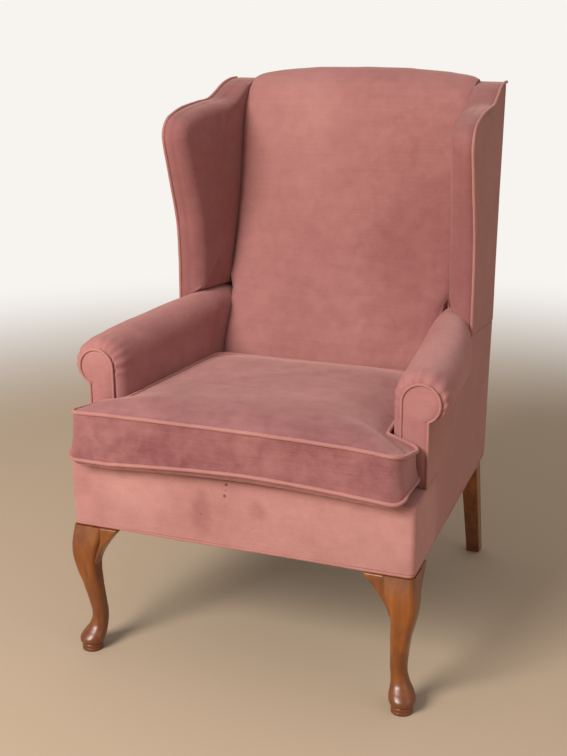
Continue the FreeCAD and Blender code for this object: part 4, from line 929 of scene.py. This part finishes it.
wing_panel_edge = (wing_shape + inward(wing_shape) * 0.0024)[:128]
seam_line = spaced([(0.3358, 0.5648), (0.0945, 0.5898)], 60)
wing_panel_shape = spaced(np.vstack([wing_panel_edge[2:], [(0.3420, 0.66)], seam_line]), 360, True)
wing_panel_middle = np.array([0.235, 0.80])
arm_corners = [((-0.1896, 0.2754), 0), ((0.3000, 0.2754), 0), ((0.3314, 0.5643), 0), ((0.0980, 0.5888), 0)]
arm_corners += [((0.0980, 0.529), 0), ((-0.268, 0.529), 0), ((-0.268, 0.4047), 0), ((-0.1896, 0.4047), 0)]
arm_panel_shape = rounded_line(arm_corners, 360)
arm_panel_middle = np.array([0.13, 0.42])
outer_velvet = velvet("velvet_outside", tint(186, 132, 124), tint(148, 96, 91), patch_size=5.0)
for side, word in both_sides:
    wing_name = f"outer_wing_cloth_{word}"
    wing_cloth = panel(wing_name, wing_panel_shape, wing_panel_middle, on_side(side, 31), 0.0018)
    finished(wing_cloth, "chair_frame", "velvet", outer_velvet, f"outside_wing_panel_{word}")
    arm_name = f"outer_arm_cloth_{word}"
    arm_cloth = panel(arm_name, arm_panel_shape, arm_panel_middle, on_side(side, 37), 0.0018)
    finished(arm_cloth, "chair_frame", "velvet", outer_velvet, f"outside_arm_panel_{word}")


def on_back(shape, depth):
    """Lays an outline of distances across and heights on the leaning back."""
    spots = np.column_stack([shape[:, 0], back_y(shape[:, 1]), shape[:, 1]])
    spots[:, 1] += 0.0006 * lumps(spots, 0.16, 41) - depth - 0.0004
    return spots


back_arch = bend((0.303, 1.051), (0, 1.0765), (-0.303, 1.051), 60)
back_panel_shape = spaced([(-0.3078, 0.2765), (0.3078, 0.2765), *back_arch], 420, True)
back_cloth = panel("outer_back_cloth", back_panel_shape, np.array([0, 0.68]), on_back, 0.0016)
finished(back_cloth, "chair_frame", "velvet", outer_velvet, "outside_back_panel")

# Seat cushion
# A loose T-shaped cushion whose two ears fill the space in front of the arms. Its top crowns, its boxing is
# drawn in between the two piped seams, and its front edge droops a little over the rail.

underside = 0.4092
low_seam = 0.429
high_seam = 0.504
boxing = high_seam - low_seam
cushion_front = -0.3935
cushion_rear = 0.0875
ear_side = 0.327
seam_inset = 0.0018


def cushion_outline(inset):
    """The cushion from above, less an inset all round."""
    front = cushion_front + inset
    ear = ear_side - inset
    ear_rear = -0.2800 - inset * 0.6
    corners = [
        ((0, front), 0),
        ((ear, front), max(0.026 - inset * 0.4, 0.008)),
        ((ear, ear_rear), max(0.016 - inset * 0.5, 0.004)),
        ((0.2650 - inset, ear_rear), 0.009),
        ((0.2322 - inset, cushion_rear - inset), max(0.024 - inset * 0.5, 0.006)),
    ]
    corners += [((-x, y), radius) for (x, y), radius in reversed(corners[1:])]
    return rounded_line(corners, 560)


def crown(plan):
    """How far the filling lifts the cushion's top above its upper seam."""
    x, y = plan.T
    body = 0.2604 - 0.0811 * (y + 0.284)
    to_ear = np.clip((-0.278 - y) / 0.075, 0, 1)
    half = body + (ear_side - seam_inset - body) * to_ear * to_ear * (3 - 2 * to_ear)
    lift = 0.026
    for room in (y - cushion_front - seam_inset, cushion_rear - seam_inset - y, half - np.abs(x)):
        lift = lift * (1 - (1 - np.clip(room / 0.125, 0, 1)) ** 2.2)
    return lift


def settled(spots):
    """The cushion's slack. Its lower seam droops in front, its upper seam arches and its ears sag."""
    x, y, z = spots.T
    lip = np.clip((-0.350 - y) / 0.042, 0, 1)
    lip = lip * lip * (3 - 2 * lip)
    across = np.minimum(np.abs(x - 0.04) / 0.25, 1.1) ** 1.6
    low = lip * (0.003 - 0.0125 * across)
    front_part = np.clip((-0.20 - y) / 0.19, 0, 1)
    ear = np.clip((np.abs(x) - 0.235) / 0.09, 0, 1) ** 1.5
    ear_rear = np.clip((y + 0.385) / 0.09, 0, 1)
    high = front_part * (0.009 - np.where(x > 0, 0.008, 0.002) * np.abs(x / ear_side) ** 2)
    high -= ear * (y < -0.20) * np.where(x > 0, 0.004 + 0.018 * ear_rear, 0.002 + 0.010 * ear_rear)
    share = np.clip((z - low_seam) / boxing, 0, 1)
    drawn = np.where(x < 0, 0.012, 0.003) * share * ear
    return np.column_stack([x - np.sign(x) * drawn, y, z + low * (1 - share) + high * share])


# Height and inset
cushion_levels = [(underside, 0.026), (0.4102, 0.020), (0.4125, 0.014), (0.4168, 0.008)]
cushion_levels += [(0.4225, 0.0032), (0.4265, 0.0012), (low_seam, seam_inset)]
for share in np.linspace(0, 1, 19)[1:-1]:
    cushion_levels.append((low_seam + boxing * share, 0.0012 + 0.0022 * math.sin(math.pi * share)))
cushion_levels.append((high_seam, seam_inset))
rings = []
cushion_pole = np.array([0, -0.30])
base = cushion_outline(0.026)
for kept in np.linspace(0.06, 0.97, 34):
    rings.append(at_level(shrunk(base, cushion_pole, kept), underside))
for level, inset in cushion_levels:
    rings.append(at_level(cushion_outline(inset), level))
top_plan = cushion_outline(seam_inset)
for share in np.linspace(0.008, 0.94, 58):
    plan = shrunk(top_plan, cushion_pole, 1 - share)
    rings.append(at_level(plan, high_seam + crown(plan)))
cushion = closed_form("seat_cushion_cover", [settled(ring) for ring in rings])
cushion_pulls = [((-0.25, -0.394, 0.437), (-0.20, -0.394, 0.475), 0.006, 0.0018)]
cushion_pulls += [((-0.228, -0.394, 0.436), (-0.18, -0.394, 0.470), 0.006, -0.0012)]
cushion_pulls += [((0.12, -0.394, 0.44), (0.20, -0.394, 0.455), 0.007, 0.0012)]
zip_level = (low_seam + high_seam) / 2
zip_depth = 0.0062


def cushion_press(spots):
    """Soft unevenness away from the seams, the pulls in the boxing, and the groove for the zip."""
    x, y, z = spots.T
    above = np.clip((z - 0.42) / 0.02, 0, 1)
    soft = 0.003 * lumps(spots, 0.15, 43) + 0.0012 * lumps(spots, 0.055, 47)
    seam = np.minimum(np.abs(z - low_seam), np.abs(z - high_seam))
    across = np.clip((0.176 - np.abs(x)) / 0.006, 0, 1) * (y > 0.07)
    zip_groove = across * np.clip((0.0125 - np.abs(z - zip_level)) / 0.004, 0, 1)
    stuffed = above * soft * np.clip(seam / 0.02, 0.25, 1) * (1 - zip_groove)
    return stuffed + pulls(spots, cushion_pulls) - zip_depth * zip_groove


pressed(cushion, cushion_press)
cushion_spots = [((0.0218, -0.395, 0.4762), 0.0028, 0.85), ((0.0091, -0.395, 0.4634), 0.0025, 0.4)]
cushion_spots += [((0.327, -0.2336, 0.4625), 0.002, 0.4), ((0.327, -0.3073, 0.4346), 0.002, 0.4)]
# Painted shade darkens the whole front face of the boxing, and painted light brightens the near ear's outer
# side.
cushion_painted_shade_and_light = [((0, -0.415, 0.455), (3.0, 0.030, 0.14), -0.36)]
cushion_painted_shade_and_light.append(((0.345, -0.34, 0.465), (0.03, 0.06, 0.05), 0.5))
# The cushion's dark tone is deeper than the other cloth's mauve, and it carries that painted shade.
cushion_light = tint(188, 131, 127)
cushion_mauve_and_painted_shade = tint(120, 68, 70)
cushion_velvet = velvet(
    "velvet_cushion_cloth", cushion_light, cushion_mauve_and_painted_shade, (14, 60, 300), cushion_spots, cushion_painted_shade_and_light
)
finished(cushion, "seat_cushion", "velvet", cushion_velvet, "cushion_cover", "cushion_core")

seam_plan = cushion_outline(0.001)
cushion_runs = [settled(at_level(seam_plan, level)) for level in (low_seam, high_seam)]
cushion_piping = piping("cushion_piping", cushion_runs, 0.0035, True)
finished(cushion_piping, "seat_cushion", "velvet", piping_velvet, "cushion_welts")

# Plain finishes
# Raw beech for the frame, steel for springs, clips, screws and staples, brass for the zip, cotton stuffing,
# and woven burlap, webbing and cloths. Only the dust cloth with its staples can be seen, from below.


def plain(name, light, dark, scale, roughness, stretch=(1, 1, 1), metallic=0.0, relief=0.0006):
    """A finish with one noise through it, stretched along the grain or the threads."""
    made, tree, finish, place = new_finish(name)
    grain = clouded(tree, drawn_out(tree, place, stretch), scale, 5.0)
    colour = blended(tree, ranged(tree, grain, 0.3, 0.7), dark, light)
    tree.links.new(colour, finish.inputs["Base Color"])
    finish.inputs["Roughness"].default_value = roughness
    finish.inputs["Metallic"].default_value = metallic
    tree.links.new(raised(tree, grain, 0.4, relief), finish.inputs["Normal"])
    return made


def woven(name, light, dark, pitch, plane):
    """Crossed threads at a pitch in metres, on two of the three axes."""
    made, tree, finish, place = new_finish(name)
    axes = node(tree, "ShaderNodeSeparateXYZ", {0: place})
    waves = []
    for axis in plane:
        turned = worked(tree, "MULTIPLY", axes.outputs[axis], 2 * math.pi / pitch)
        waves.append(worked(tree, "SINE", turned))
    crossed = worked(tree, "MULTIPLY", *waves)
    colour = blended(tree, ranged(tree, crossed, -1.0, 1.0), dark, light)
    tree.links.new(colour, finish.inputs["Base Color"])
    finish.inputs["Roughness"].default_value = 0.9
    tree.links.new(raised(tree, crossed, 0.7, pitch / 4), finish.inputs["Normal"])
    return made


beech = plain("raw_beech", tint(206, 170, 124), tint(168, 128, 84), 9, 0.65, (6, 6, 1))
steel = plain("spring_steel", tint(96, 92, 88), tint(60, 58, 56), 120, 0.42, metallic=0.9, relief=0.0002)
burlap = woven("burlap", tint(176, 142, 96), tint(118, 90, 56), 0.0022, "XY")
webbing = woven("jute_webbing", tint(164, 128, 84), tint(104, 78, 48), 0.0026, "XZ")
deck_finish = woven("deck_cloth", tint(186, 160, 140), tint(150, 124, 106), 0.0012, "XY")
dust_finish = woven("dust_cloth", tint(44, 42, 42), tint(24, 22, 22), 0.0011, "XY")
stuffing = plain("stuffing", tint(226, 220, 206), tint(196, 188, 172), 90, 0.95, relief=0.002)
tape = woven("zip_tape", tint(150, 96, 88), tint(112, 66, 60), 0.0009, "XZ")
zip_metal = plain("zip_metal", tint(176, 150, 96), tint(120, 98, 58), 200, 0.35, metallic=1.0, relief=0.0001)
frame_wood_nodes = ["corner_blocks", "front_seat_rail", "rear_seat_rail", "crest_rail", "lower_back_rail"]
for stem in ("side_seat_rail", "arm_post", "arm_board", "arm_tack_rail", "wing_post", "wing_top_rail"):
    frame_wood_nodes += [f"{stem}_right", f"{stem}_left"]
inside_finishes = {
    "frame_wood": (beech, frame_wood_nodes),
    "spring_steel": (steel, ["corner_block_screws", "seat_springs", "spring_clips", "dust_cover_staples"]),
    "burlap": (burlap, ["seat_burlap", "back_burlap"]),
    "webbing": (webbing, ["back_webbing"]),
    "padding": (stuffing, ["front_edge_roll"]),
    "zip_tape": (tape, ["cushion_zip"]),
    "zip_metal": (zip_metal, ["zip_slider"]),
}
for slot, (finish, names) in inside_finishes.items():
    for name in names:
        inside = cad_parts[name]
        inside.data.materials.clear()
        inside.data.materials.append(finish)

# Zip teeth
# Two rows of small brass teeth sit on the zip's tape in the cushion's rear boxing. They mesh along its
# middle and are clamped to the edges of the tape.

tooth_tree = bpy.data.node_groups.new("zip_tooth_rows", "GeometryNodeTree")
tooth_tree.interface.new_socket("Geometry", in_out="OUTPUT", socket_type="NodeSocketGeometry")
tooth_values = {
    "Count": (112, "NodeSocketInt"),
    "Pitch": (0.003, "NodeSocketFloat"),
    "Tooth": ((0.0014, 0.0012, 0.0034), "NodeSocketVector"),
    "Start": ((-0.167, 0.0836, zip_level + 0.0013), "NodeSocketVector"),
    "Second row": ((0.0015, 0.0, -0.0026), "NodeSocketVector"),
    "Finish": (zip_metal, "NodeSocketMaterial"),
}
for name, (value, kind) in tooth_values.items():
    tooth_tree.interface.new_socket(name, in_out="INPUT", socket_type=kind)
given = node(tooth_tree, "NodeGroupInput").outputs
tooth = node(tooth_tree, "GeometryNodeMeshCube", {"Size": given["Tooth"]}).outputs["Mesh"]
step = node(tooth_tree, "ShaderNodeCombineXYZ", {0: given["Pitch"]}).outputs[0]
second = node(tooth_tree, "ShaderNodeVectorMath", {0: given["Start"], 1: given["Second row"]}).outputs[0]
joined_rows = node(tooth_tree, "GeometryNodeJoinGeometry")
for start in (given["Start"], second):
    line = {"Count": given["Count"], "Start Location": start, "Offset": step}
    line = node(tooth_tree, "GeometryNodeMeshLine", line, mode="OFFSET").outputs[0]
    row = node(tooth_tree, "GeometryNodeInstanceOnPoints", {"Points": line, "Instance": tooth}).outputs[0]
    tooth_tree.links.new(row, joined_rows.inputs[0])
realized = node(tooth_tree, "GeometryNodeRealizeInstances", {0: joined_rows.outputs[0]}).outputs[0]
brass = {"Geometry": realized, "Material": given["Finish"]}
brass = node(tooth_tree, "GeometryNodeSetMaterial", brass).outputs[0]
node(tooth_tree, "NodeGroupOutput", {0: brass})
zip_teeth = bpy.data.objects.new("zip_teeth", bpy.data.meshes.new("zip_teeth_start"))
scene.collection.objects.link(zip_teeth)
rows = zip_teeth.modifiers.new("rows", "NODES")
rows.node_group = tooth_tree
for socket in tooth_tree.interface.items_tree:
    if socket.in_out == "INPUT":
        rows[socket.identifier] = tooth_values[socket.name][0]
evaluated_teeth = zip_teeth.evaluated_get(bpy.context.evaluated_depsgraph_get())
made_teeth = bpy.data.meshes.new_from_object(evaluated_teeth)
zip_teeth.modifiers.remove(rows)
zip_teeth.data = made_teeth
finished(zip_teeth, "seat_cushion", "zip_metal", zip_metal)

# Seat deck
# A thin pad under plain deck cloth lies on the burlap over the springs, and the cushion lies on it. In front
# it reaches both sides, and between the arms it is narrower.

deck_front = -0.326
deck_shoulder = -0.2752
deck_neck = -0.2742
deck_rear = 0.261
deck_length = 0.588


def deck_half(y):
    """Half the deck's width: wide in front of the arm posts and narrow between the arms."""
    return np.interp(y, [deck_front, deck_shoulder, deck_neck, deck_rear], [0.3077, 0.3052, 0.2345, 0.2325])


def deck_grid(level, margin, sag):
    """The deck's points at a height, less a margin all round, sagging towards its middle."""
    across = np.linspace(-1, 1, 90)
    ears = np.linspace(deck_front + 0.0003 + margin, deck_shoulder, 12)
    places = np.concatenate([ears, np.linspace(deck_neck, deck_rear - margin, 78)])
    grid = np.empty((len(places), len(across), 3))
    for row, y in enumerate(places):
        dip = sag * (1 - across**2) * math.sin(math.pi * (y - deck_front) / deck_length)
        grid[row] = np.column_stack([across * (deck_half(y) - margin), np.full(len(across), y), level - dip])
    return grid


deck_sag = 0.0016
deck_cloth = sheet_form("seat_deck_cloth", deck_grid(0.4089, 0, deck_sag), deck_grid(0.4078, 0, deck_sag))
finished(deck_cloth, "chair_frame", "deck_cloth", deck_finish, "seat_deck_cover")
deck_top = deck_grid(0.4074, 0.002, deck_sag)
deck_stuffing = sheet_form("seat_deck_stuffing", deck_top, deck_grid(0.3952, 0.002, 0))
finished(deck_stuffing, "chair_frame", "padding", stuffing, "seat_deck_pad")

# Dust cover
# Thin black cloth stapled under the seat, cut short at the four legs. It sags a little between its staples.

dust_edge_front = -0.344
dust_edge_rear = 0.292
dust_places = np.concatenate([[dust_edge_front], np.linspace(-0.3056, 0.2554, 60), [dust_edge_rear]])
dust_half = side_x(dust_places) - 0.010
dust_half[[0, -1]] = (0.2895, 0.2620)
dust_span = dust_edge_rear - dust_edge_front
across = np.linspace(-1, 1, 61)
dust_front = np.empty((len(dust_places), len(across), 3))
for row, y in enumerate(dust_places):
    dip = 0.006 * (1 - across**2) * max(math.sin(math.pi * (y - dust_edge_front) / dust_span), 0)
    dust_front[row] = np.column_stack([across * dust_half[row], np.full(len(across), y), 0.2757 - dip])
dust_back = dust_front - (0, 0, 0.0009)
dust_cloth = sheet_form("sagging_dust_cover", dust_front, dust_back)
finished(dust_cloth, "chair_frame", "dust_cloth", dust_finish, "dust_cover")
